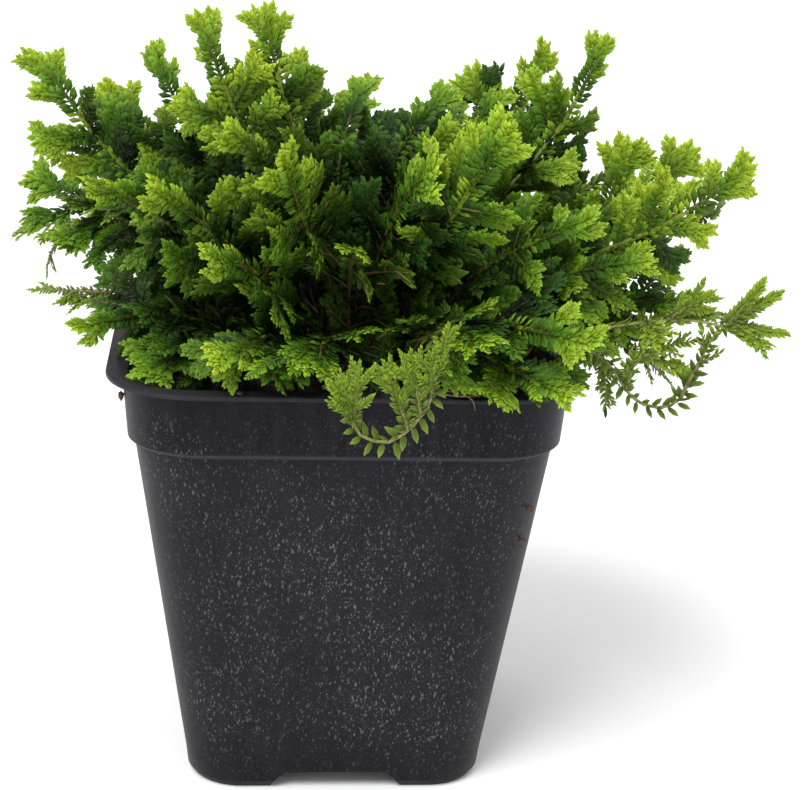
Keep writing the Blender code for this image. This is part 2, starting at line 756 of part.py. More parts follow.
def main():
    clear_scene()
    plastic = material("pot_plastic", (0.028, 0.028, 0.034), 0.55)
    mix_finish = material("potting_mix", (0.035, 0.022, 0.014), 0.95)
    leaf_finish = material("spikemoss", (0.12, 0.30, 0.035), 0.5)
    runner_finish = material("spikemoss_runner", (0.36, 0.42, 0.09), 0.5)
    pot = build_pot(plastic)
    plans = plan_sprays()
    build_mix(mix_finish, plans)
    shapes = grow(plans, [solid_of(pot)])
    for plan in plans:
        name = plan["name"]
        finish = runner_finish if plan["thin"] else leaf_finish
        spray = add_object(name, *shapes[name][0], finish)
        combine(spray, shapes[name][1:], "UNION", "MANIFOLD")


main()
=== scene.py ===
# %% [markdown]
# # A potted spikemoss
#
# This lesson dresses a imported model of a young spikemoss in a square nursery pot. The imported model
# has a pot, its potting mix, 43 leafy sprays and 7 thin runners, all with few faces. Each of them is
# replaced here by a finer piece of the same form, at the same place: the real plant carries tens of
# thousands of leaves, each about three millimetres long.

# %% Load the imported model
import bisect
import math
import random

import bmesh
import bpy
import numpy as np
from mathutils import Matrix, Vector, noise


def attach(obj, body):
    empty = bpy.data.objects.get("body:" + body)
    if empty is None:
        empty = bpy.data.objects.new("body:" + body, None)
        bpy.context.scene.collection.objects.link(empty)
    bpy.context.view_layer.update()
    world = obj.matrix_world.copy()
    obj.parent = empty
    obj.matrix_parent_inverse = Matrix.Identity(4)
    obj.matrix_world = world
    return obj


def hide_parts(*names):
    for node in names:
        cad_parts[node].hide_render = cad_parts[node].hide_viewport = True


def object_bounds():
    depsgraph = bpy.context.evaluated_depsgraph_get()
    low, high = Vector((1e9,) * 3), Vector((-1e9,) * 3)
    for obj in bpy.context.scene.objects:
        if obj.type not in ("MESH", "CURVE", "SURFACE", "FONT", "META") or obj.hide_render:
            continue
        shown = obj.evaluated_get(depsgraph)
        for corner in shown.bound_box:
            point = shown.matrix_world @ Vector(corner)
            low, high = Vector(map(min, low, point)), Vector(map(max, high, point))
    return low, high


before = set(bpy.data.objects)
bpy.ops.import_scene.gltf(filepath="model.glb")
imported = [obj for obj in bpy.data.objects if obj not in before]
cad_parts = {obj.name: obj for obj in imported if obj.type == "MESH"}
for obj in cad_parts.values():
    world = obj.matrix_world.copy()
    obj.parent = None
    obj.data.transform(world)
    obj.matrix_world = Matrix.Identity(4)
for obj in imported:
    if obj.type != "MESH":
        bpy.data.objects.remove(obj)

MM = 0.001
CAD_LOW, CAD_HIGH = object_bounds()
print("packed model", [round(side / MM, 1) for side in CAD_HIGH - CAD_LOW], "mm")

# %% [markdown]
# ## The camera
#
# The camera stands where the photographer stood. Its place came from fitting the pot's lip, collar,
# sides and feet, whose sizes are known, to the photograph. It looks down by 17 degrees from a little to
# the left, and it is tilted by two degrees, as a camera held by hand is.

# %% Set up the camera
IMAGE_WIDTH = 810
FOCAL_PIXELS = 2013.6
SENSOR_WIDTH = 36.0
CAMERA_AIM = Vector((13.44, 0.0, 72.4)) * MM
CAMERA_DISTANCE = 404.9 * MM
CAMERA_AZIMUTH = math.radians(-5.28)
CAMERA_ELEVATION = math.radians(17.14)
CAMERA_ROLL = math.radians(2.28)
NEAREST_SEEN = 10.0 * MM


def placed(across, up, out, at):
    """The matrix of a thing whose three axes point those ways, at that place."""
    place = Matrix((across, up, out)).transposed().to_4x4()
    place.translation = at
    return place


def camera_place():
    """The camera's matrix: right, up and back are its columns."""
    level = math.cos(CAMERA_ELEVATION)
    back = Vector((math.sin(CAMERA_AZIMUTH) * level, -math.cos(CAMERA_AZIMUTH) * level,
                   math.sin(CAMERA_ELEVATION)))
    right = Vector((0, 0, 1)).cross(back).normalized()
    up = back.cross(right)
    rolled_right = right * math.cos(CAMERA_ROLL) + up * math.sin(CAMERA_ROLL)
    rolled_up = up * math.cos(CAMERA_ROLL) - right * math.sin(CAMERA_ROLL)
    return placed(rolled_right, rolled_up, back, CAMERA_AIM + back * CAMERA_DISTANCE)


lens = bpy.data.cameras.new("camera")
lens.sensor_width = SENSOR_WIDTH
lens.lens = FOCAL_PIXELS / IMAGE_WIDTH * SENSOR_WIDTH
lens.clip_start = NEAREST_SEEN
camera = bpy.data.objects.new("camera", lens)
bpy.context.scene.collection.objects.link(camera)
camera.matrix_world = camera_place()
bpy.context.scene.camera = camera
print("camera at", [round(side / MM) for side in camera.location], "mm, lens", round(lens.lens, 1), "mm")

# %% [markdown]
# ## Floor and light
#
# The photograph has a white ground and soft light from all around, a little stronger from the upper
# left. A pale floor, a pale world and two wide, soft suns give the same: bright shoots, and a dark
# hollow inside the plant, where little light gets in. A sun has no place, only a direction and a width.

# %% Lay the floor and place the lamps
FLOOR_HALF = 4.0
FLOOR_COLOUR = (0.90, 0.90, 0.90)
FLOOR_ROUGHNESS = 0.9
WORLD_COLOUR = (1.0, 1.0, 1.0)
WORLD_STRENGTH = 0.92
LAMPS = (
    # name, where its light comes from, how wide it looks in degrees, strength
    ("key_lamp", (-0.50, -0.75, 1.20), 30, 2.5),
    ("fill_lamp", (0.90, -0.40, 0.60), 50, 0.15),
)


def plain_material(name, colour, roughness):
    made = bpy.data.materials.new(name)
    made.use_nodes = True
    shader = made.node_tree.nodes["Principled BSDF"]
    shader.inputs["Base Color"].default_value = (*colour, 1.0)
    shader.inputs["Roughness"].default_value = roughness
    return made


def mesh_object(name, points, faces, finish):
    mesh = bpy.data.meshes.new(name)
    mesh.from_pydata([tuple(point) for point in points], [], faces)
    mesh.materials.append(finish)
    thing = bpy.data.objects.new(name, mesh)
    bpy.context.scene.collection.objects.link(thing)
    return thing


corners = [(-FLOOR_HALF, -FLOOR_HALF, 0), (FLOOR_HALF, -FLOOR_HALF, 0), (FLOOR_HALF, FLOOR_HALF, 0),
           (-FLOOR_HALF, FLOOR_HALF, 0)]
floor = mesh_object("floor", corners, [(0, 1, 2, 3)],
                    plain_material("floor_paper", FLOOR_COLOUR, FLOOR_ROUGHNESS))

for name, source, width, strength in LAMPS:
    lamp = bpy.data.lights.new(name, "SUN")
    lamp.angle = math.radians(width)
    lamp.energy = strength
    holder = bpy.data.objects.new(name, lamp)
    bpy.context.scene.collection.objects.link(holder)
    holder.location = source
    holder.rotation_euler = Vector(source).to_track_quat("Z", "Y").to_euler()

world = bpy.data.worlds.new("studio")
world.use_nodes = True
backdrop = world.node_tree.nodes["Background"]
backdrop.inputs["Color"].default_value = (*WORLD_COLOUR, 1.0)
backdrop.inputs["Strength"].default_value = WORLD_STRENGTH
bpy.context.scene.world = world
bpy.context.scene.view_settings.view_transform = "Standard"
print("lamps:", ", ".join(name for name, *_ in LAMPS))

# %% [markdown]
# ## Helpers for node trees
#
# Materials and Geometry Nodes are both graphs, so one small helper serves both. It adds a node, sets
# what the node itself offers, and then gives each of its inputs either a plain value or a link from
# another node. Some nodes hide several sockets of one name, so the helper takes the one that is in use.
# A second helper is for materials. It adds the few kinds of node that every finish here is made of.

# %% The helper for any graph


def socket_named(sockets, name):
    """The socket in use of that name, or by its number."""
    if isinstance(name, int):
        return sockets[name]
    for socket in sockets:
        if socket.name == name and socket.enabled:
            return socket
    raise KeyError(name)


class Graph:
    """Adds nodes to a node tree and wires them up."""

    def __init__(self, tree):
        self.tree = tree

    def add(self, kind, inputs=None, out=0, **settings):
        """Add a node, and give back one of its outputs."""
        node = self.tree.nodes.new(kind)
        for key, value in settings.items():
            setattr(node, key, value)
        for name, value in (inputs or {}).items():
            socket = socket_named(node.inputs, name)
            if isinstance(value, bpy.types.NodeSocket):
                self.tree.links.new(value, socket)
            else:
                socket.default_value = value
        return socket_named(node.outputs, out)

    def join(self, sources):
        """Several meshes as one: this node's input takes many links."""
        node = self.tree.nodes.new("GeometryNodeJoinGeometry")
        for source in sources:
            self.tree.links.new(source, node.inputs["Geometry"])
        return node.outputs[0]

    def maths(self, operation, first, second, clamp=False):
        return self.add("ShaderNodeMath", {0: first, 1: second}, operation=operation, use_clamp=clamp)

    def plus(self, first, second):
        return self.maths("ADD", first, second)

    def times(self, first, second):
        return self.maths("MULTIPLY", first, second)

    def line(self, source, slope, start):
        """A value that changes evenly with its source, from the start that it has at 0."""
        return self.plus(self.times(source, slope), start)


# %% The helper for materials


class Finish(Graph):
    """The graph of a new material, with its Principled shader and the object's own coordinates."""

    def __init__(self, name, roughness=0.5):
        self.material = plain_material(name, (0.5, 0.5, 0.5), roughness)
        super().__init__(self.material.node_tree)
        self.shader = self.tree.nodes["Principled BSDF"]
        self.place = self.add("ShaderNodeTexCoord", out="Object")

    def wire(self, source, name):
        """Link a value to one of the shader's inputs."""
        self.tree.links.new(source, self.shader.inputs[name])

    def attribute(self, name):
        """A number that the mesh carries at each of its points."""
        return self.add("ShaderNodeAttribute", out="Fac", attribute_name=name)

    def noise(self, scale, detail, roughness=0.5, place=None):
        return self.add("ShaderNodeTexNoise", {
            "Vector": self.place if place is None else place, "Scale": scale, "Detail": detail,
            "Roughness": roughness}, out="Fac")

    def ramp(self, source, stops):
        """A colour ramp: stops are (position, (red, green, blue))."""
        node = self.tree.nodes.new("ShaderNodeValToRGB")
        elements = node.color_ramp.elements
        while len(elements) < len(stops):
            elements.new(0.5)
        for element, (position, colour) in zip(elements, stops):
            element.position = position
            element.color = (*colour, 1.0)
        self.tree.links.new(source, node.inputs["Fac"])
        return node.outputs["Color"]

    def levels(self, source, stops):
        """A ramp of greys, for a share that changes: stops are (position, share)."""
        return self.ramp(source, [(position, (share,) * 3) for position, share in stops])

    def blend(self, share, first, second):
        """Mix two colours, each a plain one or a link."""
        first, second = (colour if isinstance(colour, bpy.types.NodeSocket) else (*colour, 1.0)
                         for colour in (first, second))
        return self.add("ShaderNodeMix", {"Factor": share, "A": first, "B": second}, out="Result",
                        data_type="RGBA")

    def bump(self, height, strength, distance):
        """Let a pattern raise the surface a little, in its shading only."""
        self.wire(self.add("ShaderNodeBump", {"Height": height, "Strength": strength,
                                              "Distance": distance}), "Normal")


print("helpers ready")

# %% [markdown]
# ## The pot
#
# A thin pot of black plastic, moulded in one piece. Its outline is a square with round corners at every
# height, so it can be made as a stack of such rings: foot, body, collar and lip on the outside, and the
# same inside, one wall thinner. Two cuts finish it: the cross of channels underneath and the drain
# holes. A small bevel rounds every edge, and those edges catch the light as they do on the real pot.

# %% Sizes of the pot
POT_HEIGHT = 85.4 * MM
LIP_HALF = 44.5 * MM
LIP_CORNER = 17.0 * MM
LIP_THICKNESS = 0.9 * MM
COLLAR_TOP_HALF = 41.4 * MM
COLLAR_LOW_HALF = 40.5 * MM
COLLAR_LOW = 72.0 * MM
COLLAR_EDGE = 0.9 * MM
COLLAR_CORNER = 13.2 * MM
BODY_TOP_HALF = 39.25 * MM
BODY_LOW_HALF = 29.5 * MM
BODY_LOW = 5.0 * MM
BODY_LOW_CORNER = 10.8 * MM
FOOT_HALF = 27.9 * MM
FOOT_CORNER = 9.4 * MM
FOOT_EASE_OUT = 1.2 * MM
FOOT_EASE_UP = 1.6 * MM
WALL = 1.0 * MM
INNER_STEP_ABOVE = 1.2 * MM
INNER_STEP_BELOW = 0.4 * MM
FLOOR_EASE = 1.3 * MM
CORNER_STEPS = 14
CHANNEL_HALF = 12.8 * MM
CHANNEL_HEIGHT = 3.5 * MM
BASE_THICKNESS = 1.3 * MM
DRAIN_RADIUS = 3.0 * MM
DRAIN_REACH = 19.0 * MM
DRAIN_SIDES = 32
CUT_MARGIN = 1.0 * MM
# how far the channels' sides have come in at each height
CHANNEL_SIDES = ((0.0, -CUT_MARGIN), (0.0, 0.0), (0.7 * MM, 1.3 * MM), (1.6 * MM, 2.5 * MM),
                 (3.0 * MM, CHANNEL_HEIGHT))
EDGE_ROUNDING = 0.28 * MM
EDGE_STEPS = 2
ROUNDED_ABOVE = math.radians(30)
SMOOTH_BELOW = math.radians(40)

# %% Rings and skins


def rounded_square(half, corner, z):
    """Points of a square with round corners, anticlockwise seen from above."""
    points = []
    for quarter in range(4):
        middle = math.radians(45 + 90 * quarter)
        centre_x = (half - corner) * math.copysign(1, math.cos(middle))
        centre_y = (half - corner) * math.copysign(1, math.sin(middle))
        for step in range(CORNER_STEPS + 1):
            angle = math.radians(90 * (quarter + step / CORNER_STEPS))
            points.append((centre_x + corner * math.cos(angle), centre_y + corner * math.sin(angle), z))
    return points


def skin(rings):
    """Closed body through rings of equal count that run anticlockwise, from the lowest up."""
    count = len(rings[0])
    points = [point for ring in rings for point in ring]
    faces = [tuple(reversed(range(count)))]
    for low in range(len(rings) - 1):
        for side in range(count):
            after = (side + 1) % count
            faces.append((low * count + side, low * count + after,
                          (low + 1) * count + after, (low + 1) * count + side))
    top = (len(rings) - 1) * count
    faces.append(tuple(range(top, top + count)))
    return points, faces


# %% Cutters, and the pot's inside


def cross_channel():
    """The raised cross under the base: its sides slope in between the feet, and more so near the top."""
    rings = []
    for inset, z in CHANNEL_SIDES:
        half = CHANNEL_HALF - inset
        outline = []
        for quarter in range(4):
            turn = Matrix.Rotation(math.radians(90 * quarter), 2)
            for corner in ((LIP_HALF, -half), (LIP_HALF, half), (half, half)):
                x, y = turn @ Vector(corner)
                outline.append((x, y, z))
        rings.append(outline)
    return skin(rings)


def turns(sides):
    """Cosine and sine at even steps round a circle."""
    angles = [2 * math.pi * side / sides for side in range(sides)]
    return [(math.cos(angle), math.sin(angle)) for angle in angles]


def drain_cutters():
    """Round bars for the holes: one in the middle and four round it."""
    low = CHANNEL_HEIGHT - CUT_MARGIN
    high = CHANNEL_HEIGHT + BASE_THICKNESS + CUT_MARGIN
    cutters = []
    for x, y in [(0.0, 0.0)] + [(DRAIN_REACH * across, DRAIN_REACH * deep) for across, deep in turns(4)]:
        rings = [[(x + DRAIN_RADIUS * across, y + DRAIN_RADIUS * deep, z)
                  for across, deep in turns(DRAIN_SIDES)] for z in (low, high)]
        cutters.append(skin(rings))
    return cutters


def inner_profile():
    """The pot's inside from the lip down to the floor, as half width, corner radius and height."""
    corner = COLLAR_CORNER - WALL
    floor_level = CHANNEL_HEIGHT + BASE_THICKNESS
    return (
        (COLLAR_TOP_HALF - WALL, corner, POT_HEIGHT),
        (COLLAR_LOW_HALF - WALL, corner, COLLAR_LOW + INNER_STEP_ABOVE),
        (BODY_TOP_HALF - WALL, corner, COLLAR_LOW - INNER_STEP_BELOW),
        (BODY_LOW_HALF - WALL, BODY_LOW_CORNER - WALL, floor_level + FLOOR_EASE),
        (BODY_LOW_HALF - WALL - FLOOR_EASE, BODY_LOW_CORNER - WALL, floor_level),
    )


# %% [markdown]
# The plastic is nearly black and satin. What makes it look real is the dust: hundreds of pale flecks,
# dried drops of water that ran down, so they are longer than wide. They come from a Voronoi pattern
# that is stretched upwards: each cell holds one fleck of its own size, and most are too small to show. A
# slow noise gathers them, and there are few near the lip and near the ground. A thin film of dust lies
# between them. Where the collar begins and on the lip, pale bands are painted: painted highlight where
# these edges catch the light, with some dust, broken up by the grain.

# %% Colours and patterns of the plastic
PLASTIC_COLOUR = (0.0036, 0.0034, 0.0055)
PLASTIC_WORN = (0.0092, 0.0088, 0.0122)
DUST_FILM = (0.0160, 0.0156, 0.0190)
DUST_COLOUR = (0.108, 0.106, 0.118)
SATIN = 0.12
PLASTIC_RELIEF = 0.08 * MM
# each noise: how many patches fit in a metre, and how detailed they are
CLOUDS = (38.0, 3.0)
STREAKS = (420.0, 4.0)
GRAIN = (2600.0, 2.0)
STREAK_SQUASH = 0.16
# each pattern of flecks: the size of its cells, how long a fleck is next to its width, how large the
# largest is next to its cell, how far the pattern is shifted, and how strongly it shows
FLECK_PATTERNS = (
    (0.40 * MM, 2.0, 0.58, 0.0, 1.0),
    (0.85 * MM, 2.2, 0.34, 0.31, 1.0),
    (0.27 * MM, 1.5, 0.62, 0.57, 0.55),
)
# turned, so that the pattern's cells don't line up with the walls
FLECK_TURN = (0.40, 0.30, 0.65)
FLECK_RARITY = 3.0
FLECK_SHARPNESS = 9.0
# at each share of the pot's height: how many flecks there are, how dusty the film is between them,
# and where the pale bands of painted highlight and dust lie at the step and the lip
FLECKS_AT = ((0.03, 0.25), (0.16, 0.8), (0.45, 1.0), (0.80, 0.9), (0.93, 0.45), (0.97, 0.08))
FILM_AT = ((0.82, 1.0), (0.86, 0.15))
HIGHLIGHT_AND_DUST_AT = ((0.842, 0.0), (0.8465, 1.0), (0.8520, 1.0), (0.8565, 0.0), (0.985, 0.0), (0.992, 0.45),
             (1.0, 0.45))
# at each value of the noise: how far it gathers the flecks, and how worn a streak is
GATHERED_AT = ((0.36, 0.25), (0.62, 1.0))
WORN_AT = ((0.40, 0.0), (0.72, 1.0))
# slope and start of what changes evenly: how pale the painted highlight and dust of the bands is with
# the grain, and how rough the plastic is with its streaks
HIGHLIGHT_AND_DUST_BY_GRAIN = (0.7, 0.1)
ROUGHNESS_BY_STREAKS = (0.16, 0.36)
HIGHLIGHT_AND_DUST_STRENGTH = 0.8
FLECKS_ROUGHER = 0.3
# how high the grain and the flecks stand in the relief, and how strongly it shades
GRAIN_HEIGHT = 0.4
FLECK_HEIGHT = 0.9
PLASTIC_BUMP = 0.35

# %% The plastic


def fleck_mask(graph, cell, stretch, largest, shift):
    """Small upright flecks, one in each cell of the pattern, most of them too small to show."""
    turned = graph.add("ShaderNodeMapping", {
        "Vector": graph.place, "Location": (shift,) * 3, "Rotation": FLECK_TURN,
        "Scale": (1.0, 1.0, 1.0 / stretch)})
    cells = graph.tree.nodes.new("ShaderNodeTexVoronoi")
    cells.inputs["Scale"].default_value = 1.0 / cell
    graph.tree.links.new(turned, cells.inputs["Vector"])
    chance = graph.add("ShaderNodeSeparateColor", {"Color": cells.outputs["Color"]})
    size = graph.times(graph.maths("POWER", chance, FLECK_RARITY), largest)
    inside = graph.maths("SUBTRACT", size, cells.outputs["Distance"])
    return graph.maths("MULTIPLY", inside, FLECK_SHARPNESS, clamp=True)


def build_plastic():
    """Black plastic with worn streaks, a film of dust, flecks, and pale bands of painted highlight and
    dust.
    """
    graph = Finish("black_plastic")
    up = graph.add("ShaderNodeSeparateXYZ", {"Vector": graph.place}, out="Z")
    height = graph.maths("DIVIDE", up, POT_HEIGHT)
    drawn_out = graph.add("ShaderNodeMapping", {
        "Vector": graph.place, "Scale": (1.0, 1.0, STREAK_SQUASH)})
    clouds = graph.noise(*CLOUDS)
    streaks = graph.noise(*STREAKS, place=drawn_out)
    grain = graph.noise(*GRAIN)
    where = graph.levels(height, FLECKS_AT)
    flecks = 0.0
    for *pattern, strength in FLECK_PATTERNS:
        flecks = graph.maths("MAXIMUM", graph.times(fleck_mask(graph, *pattern), strength), flecks)
    flecks = graph.times(graph.times(flecks, where), graph.levels(clouds, GATHERED_AT))
    film = graph.times(graph.times(where, clouds), graph.levels(height, FILM_AT))
    # pale bands at the collar step and the lip: painted highlight, with some dust
    highlight_and_dust = graph.times(graph.levels(height, HIGHLIGHT_AND_DUST_AT), graph.line(grain, *HIGHLIGHT_AND_DUST_BY_GRAIN))
    marks = graph.maths("MAXIMUM", flecks, graph.times(highlight_and_dust, HIGHLIGHT_AND_DUST_STRENGTH))
    base = graph.blend(graph.levels(streaks, WORN_AT), PLASTIC_COLOUR, PLASTIC_WORN)
    base = graph.blend(film, base, DUST_FILM)
    graph.wire(graph.blend(marks, base, DUST_COLOUR), "Base Color")
    rough = graph.line(streaks, *ROUGHNESS_BY_STREAKS)
    graph.wire(graph.plus(rough, graph.times(flecks, FLECKS_ROUGHER)), "Roughness")
    relief = graph.plus(graph.times(grain, GRAIN_HEIGHT), graph.times(flecks, FLECK_HEIGHT))
    graph.bump(relief, PLASTIC_BUMP, PLASTIC_RELIEF)
    graph.shader.inputs["Specular IOR Level"].default_value = SATIN
    return graph.material


black_plastic = build_plastic()
print("plastic:", len(black_plastic.node_tree.nodes), "nodes")

# %% Mould the pot


def cut(thing, cutters):
    """Cut closed shapes from a body, one after another, and keep the result as its mesh."""
    for points, faces in cutters:
        tool = mesh_object("cutter", points, faces, thing.data.materials[0])
        boolean = thing.modifiers.new("Cut", "BOOLEAN")
        boolean.operation = "DIFFERENCE"
        boolean.solver = "EXACT"
        boolean.object = tool
        settle(thing)
        bpy.data.objects.remove(tool, do_unlink=True)


def settle(thing):
    """Turn what the modifiers show into the object's own mesh."""
    shown = thing.evaluated_get(bpy.context.evaluated_depsgraph_get())
    thing.data = bpy.data.meshes.new_from_object(shown)
    thing.modifiers.clear()


def build_pot():
    outer = (
        (FOOT_HALF, FOOT_CORNER, 0.0),
        (FOOT_HALF + FOOT_EASE_OUT, FOOT_CORNER + FOOT_EASE_OUT, FOOT_EASE_UP),
        (BODY_LOW_HALF, BODY_LOW_CORNER, BODY_LOW),
        (BODY_TOP_HALF, COLLAR_CORNER, COLLAR_LOW),
        (COLLAR_LOW_HALF, COLLAR_CORNER, COLLAR_LOW + COLLAR_EDGE),
        (COLLAR_TOP_HALF, COLLAR_CORNER, POT_HEIGHT - LIP_THICKNESS),
        (LIP_HALF, LIP_CORNER, POT_HEIGHT - LIP_THICKNESS),
        (LIP_HALF, LIP_CORNER, POT_HEIGHT),
    )
    rings = [rounded_square(*ring) for ring in outer + inner_profile()]
    piece = mesh_object("moulded_pot", *skin(rings), black_plastic)
    cut(piece, [cross_channel()] + drain_cutters())
    bevel = piece.modifiers.new("Edges", "BEVEL")
    bevel.width = EDGE_ROUNDING
    bevel.segments = EDGE_STEPS
    bevel.limit_method = "ANGLE"
    bevel.angle_limit = ROUNDED_ABOVE
    settle(piece)
    piece.data.shade_smooth()
    piece.data.set_sharp_from_angle(angle=SMOOTH_BELOW)
    return piece


pot = build_pot()
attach(pot, "root")
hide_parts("pot")
print("pot:", len(pot.data.polygons), "faces")

# %% [markdown]
# ## The potting mix
#
# The mix is dark peat with bits of bark and a few white grains that keep it open. Only its top shows,
# and only between the stems, so a plug with a rough top carries loose crumbs that Geometry Nodes
# scatter over it: points at random on the top, a crumb on each, turned and sized at random.

# %% Sizes of the mix
GAP = 0.3 * MM
SIDE_GAP = 0.4 * MM
MIX_EDGE = 77.0 * MM
MIX_BRIM = 0.8 * MM
MIX_CROWN = 1.6 * MM
MIX_RELIEF = 0.6 * MM
MIX_WAVES = (4.3 * MM, 5.1 * MM)
MIX_TOP_RINGS = 34
MIX_ROUGHNESS = 0.5 * MM
MIX_LUMP = 2.6 * MM
# how quickly the lumps' finer layers fade, how much finer each is, and how many there are
MIX_LAYERS = (0.6, 2.0, 3)

# %% The mix's finishes
PATCH_DETAIL = (5.0, 0.65)
PATCH_BUMP = 0.7
PATCH_RELIEF = 0.3 * MM
# where in the noise a patch is all dark and where it is all light
DARK_BELOW = 0.35
LIGHT_ABOVE = 0.68


def build_mix_finish(name, dark, light, scale, roughness=0.95):
    """Earth colours in small patches, with a rough, broken surface."""
    graph = Finish(name, roughness)
    patches = graph.noise(scale, *PATCH_DETAIL)
    graph.wire(graph.ramp(patches, ((DARK_BELOW, dark), (LIGHT_ABOVE, light))), "Base Color")
    graph.bump(patches, PATCH_BUMP, PATCH_RELIEF)
    return graph.material


peat_finish = build_mix_finish("peat", (0.006, 0.004, 0.003), (0.045, 0.028, 0.018), 900.0)
bark_finish = build_mix_finish("bark", (0.030, 0.014, 0.008), (0.120, 0.060, 0.032), 1100.0)
grain_finish = build_mix_finish("white_grain", (0.32, 0.30, 0.26), (0.62, 0.60, 0.55), 1600.0, 0.85)
print("mix finishes: peat, bark and white grain")

# %% The plug of mix


def mixed(first, second, share):
    """A value between two others: the first at a share of 0, the second at 1."""
    return first + (second - first) * share


def mix_height(x, y):
    """Height of the mix's top: a low crown with gentle bumps."""
    away = max(abs(x), abs(y)) / COLLAR_LOW_HALF
    bumps = math.sin(x / MIX_WAVES[0]) * math.cos(y / MIX_WAVES[1])
    return MIX_EDGE + MIX_CROWN * (1 - away * away) + MIX_RELIEF * bumps


def build_plug():
    edge, collar, body, low, base = inner_profile()
    rise = (MIX_EDGE - collar[2]) / (edge[2] - collar[2])
    brim_half = mixed(collar[0], edge[0], rise) - SIDE_GAP
    walls = (
        (base[0] - GAP, base[1], base[2] + GAP),
        (low[0] - SIDE_GAP, low[1], low[2] + GAP),
        (body[0] - SIDE_GAP, body[1], body[2]),
        (collar[0] - SIDE_GAP, collar[1], collar[2] + SIDE_GAP),
        (brim_half, collar[1], MIX_EDGE - MIX_BRIM),
    )
    rings = [rounded_square(*ring) for ring in walls]
    for step in range(1, MIX_TOP_RINGS):
        share = 1 - step / MIX_TOP_RINGS
        flat = rounded_square(share * brim_half, share * collar[1], 0.0)
        ring = []
        for x, y, _ in flat:
            lumps = noise.fractal(Vector((x, y, 0.0)) / MIX_LUMP, *MIX_LAYERS)
            ring.append((x, y, mix_height(x, y) + MIX_ROUGHNESS * lumps))
        rings.append(ring)
    return mesh_object("potting_mix_plug", *skin(rings), peat_finish)


mix_plug = build_plug()
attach(mix_plug, "root")
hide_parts("potting_mix")
print("plug:", len(mix_plug.data.polygons), "faces")

# %% Helpers that run a tree and make a piece


def geometry_graph(name, inputs):
    """A Geometry Nodes tree with named inputs: returns its graph, what comes in and the way out."""
    tree = bpy.data.node_groups.new(name, "GeometryNodeTree")
    for label, kind in (("Geometry", "Geometry"),) + inputs:
        tree.interface.new_socket(label, in_out="INPUT", socket_type="NodeSocket" + kind)
    tree.interface.new_socket("Geometry", in_out="OUTPUT", socket_type="NodeSocketGeometry")
    incoming = tree.nodes.new("NodeGroupInput")
    outgoing = tree.nodes.new("NodeGroupOutput")
    return Graph(tree), {socket.name: socket for socket in incoming.outputs}, outgoing.inputs[0]


def grown_mesh(name, base, tree, values):
    """Run a tree on a mesh and give back what it makes as a plain mesh."""
    holder = bpy.data.objects.new(name, base)
    bpy.context.scene.collection.objects.link(holder)
    growth = holder.modifiers.new("Growth", "NODES")
    growth.node_group = tree
    for item in tree.interface.items_tree:
        if item.in_out == "INPUT" and item.name in values:
            growth[item.identifier] = values[item.name]
    shown = holder.evaluated_get(bpy.context.evaluated_depsgraph_get())
    mesh = bpy.data.meshes.new_from_object(shown)
    mesh.name = name
    bpy.data.objects.remove(holder, do_unlink=True)
    return mesh


def piece_of(name, mesh, slot, *nodes):
    """A finished piece on the one body, in place of the nodes that it hides; its slot is not used."""
    piece = bpy.data.objects.new(name, mesh)
    bpy.context.scene.collection.objects.link(piece)
    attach(piece, "root")
    if nodes:
        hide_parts(*nodes)
    return piece


# %% A tree that scatters grains
UPWARD_ABOVE = 0.4


def scatter_tree():
    graph, given, way_out = geometry_graph("Scatter grains", (
        ("Grain", "Object"), ("Density", "Float"), ("Smallest", "Float"), ("Largest", "Float"),
        ("Lift", "Float"), ("Seed", "Int"), ("Finish", "Material")))
    normal = graph.add("GeometryNodeInputNormal")
    upward = graph.add("ShaderNodeSeparateXYZ", {"Vector": normal}, out="Z")
    on_top = graph.add("FunctionNodeCompare", {"A": upward, "B": UPWARD_ABOVE}, data_type="FLOAT",
                       operation="GREATER_THAN")
    points = graph.add("GeometryNodeDistributePointsOnFaces", {
        "Mesh": given["Geometry"], "Selection": on_top, "Density": given["Density"],
        "Seed": given["Seed"]})
    lifted = graph.add("GeometryNodeSetPosition", {
        "Geometry": points, "Offset": graph.add("ShaderNodeCombineXYZ", {"Z": given["Lift"]})})
    shape = graph.add("GeometryNodeObjectInfo", {"Object": given["Grain"]}, out="Geometry")
    turn = graph.add("FunctionNodeRandomValue", {"Max": (2 * math.pi,) * 3, "Seed": given["Seed"]},
                     data_type="FLOAT_VECTOR", out="Value")
    size = graph.add("FunctionNodeRandomValue", {"Min": given["Smallest"], "Max": given["Largest"],
                                                 "Seed": given["Seed"]}, data_type="FLOAT", out="Value")
    copies = graph.add("GeometryNodeInstanceOnPoints", {
        "Points": lifted, "Instance": shape, "Rotation": turn, "Scale": size})
    real = graph.add("GeometryNodeRealizeInstances", {"Geometry": copies})
    finished = graph.add("GeometryNodeSetMaterial", {"Geometry": real, "Material": given["Finish"]})
    graph.tree.links.new(finished, way_out)
    return graph.tree


# %% A rough pebble
LUMP_CHANCE = (0.75, 1.2)


def lump(name, stretch, seed):
    """A rough pebble one unit across, from an icosphere whose points are moved in and out."""
    draw = random.Random(seed)
    shape = bmesh.new()
    bmesh.ops.create_icosphere(shape, subdivisions=1, radius=0.5)
    for vertex in shape.verts:
        vertex.co = Vector(a * b for a, b in zip(vertex.co * draw.uniform(*LUMP_CHANCE), stretch))
    mesh = bpy.data.meshes.new(name)
    shape.to_mesh(mesh)
    shape.free()
    helper = bpy.data.objects.new(name, mesh)
    bpy.context.scene.collection.objects.link(helper)
    return helper


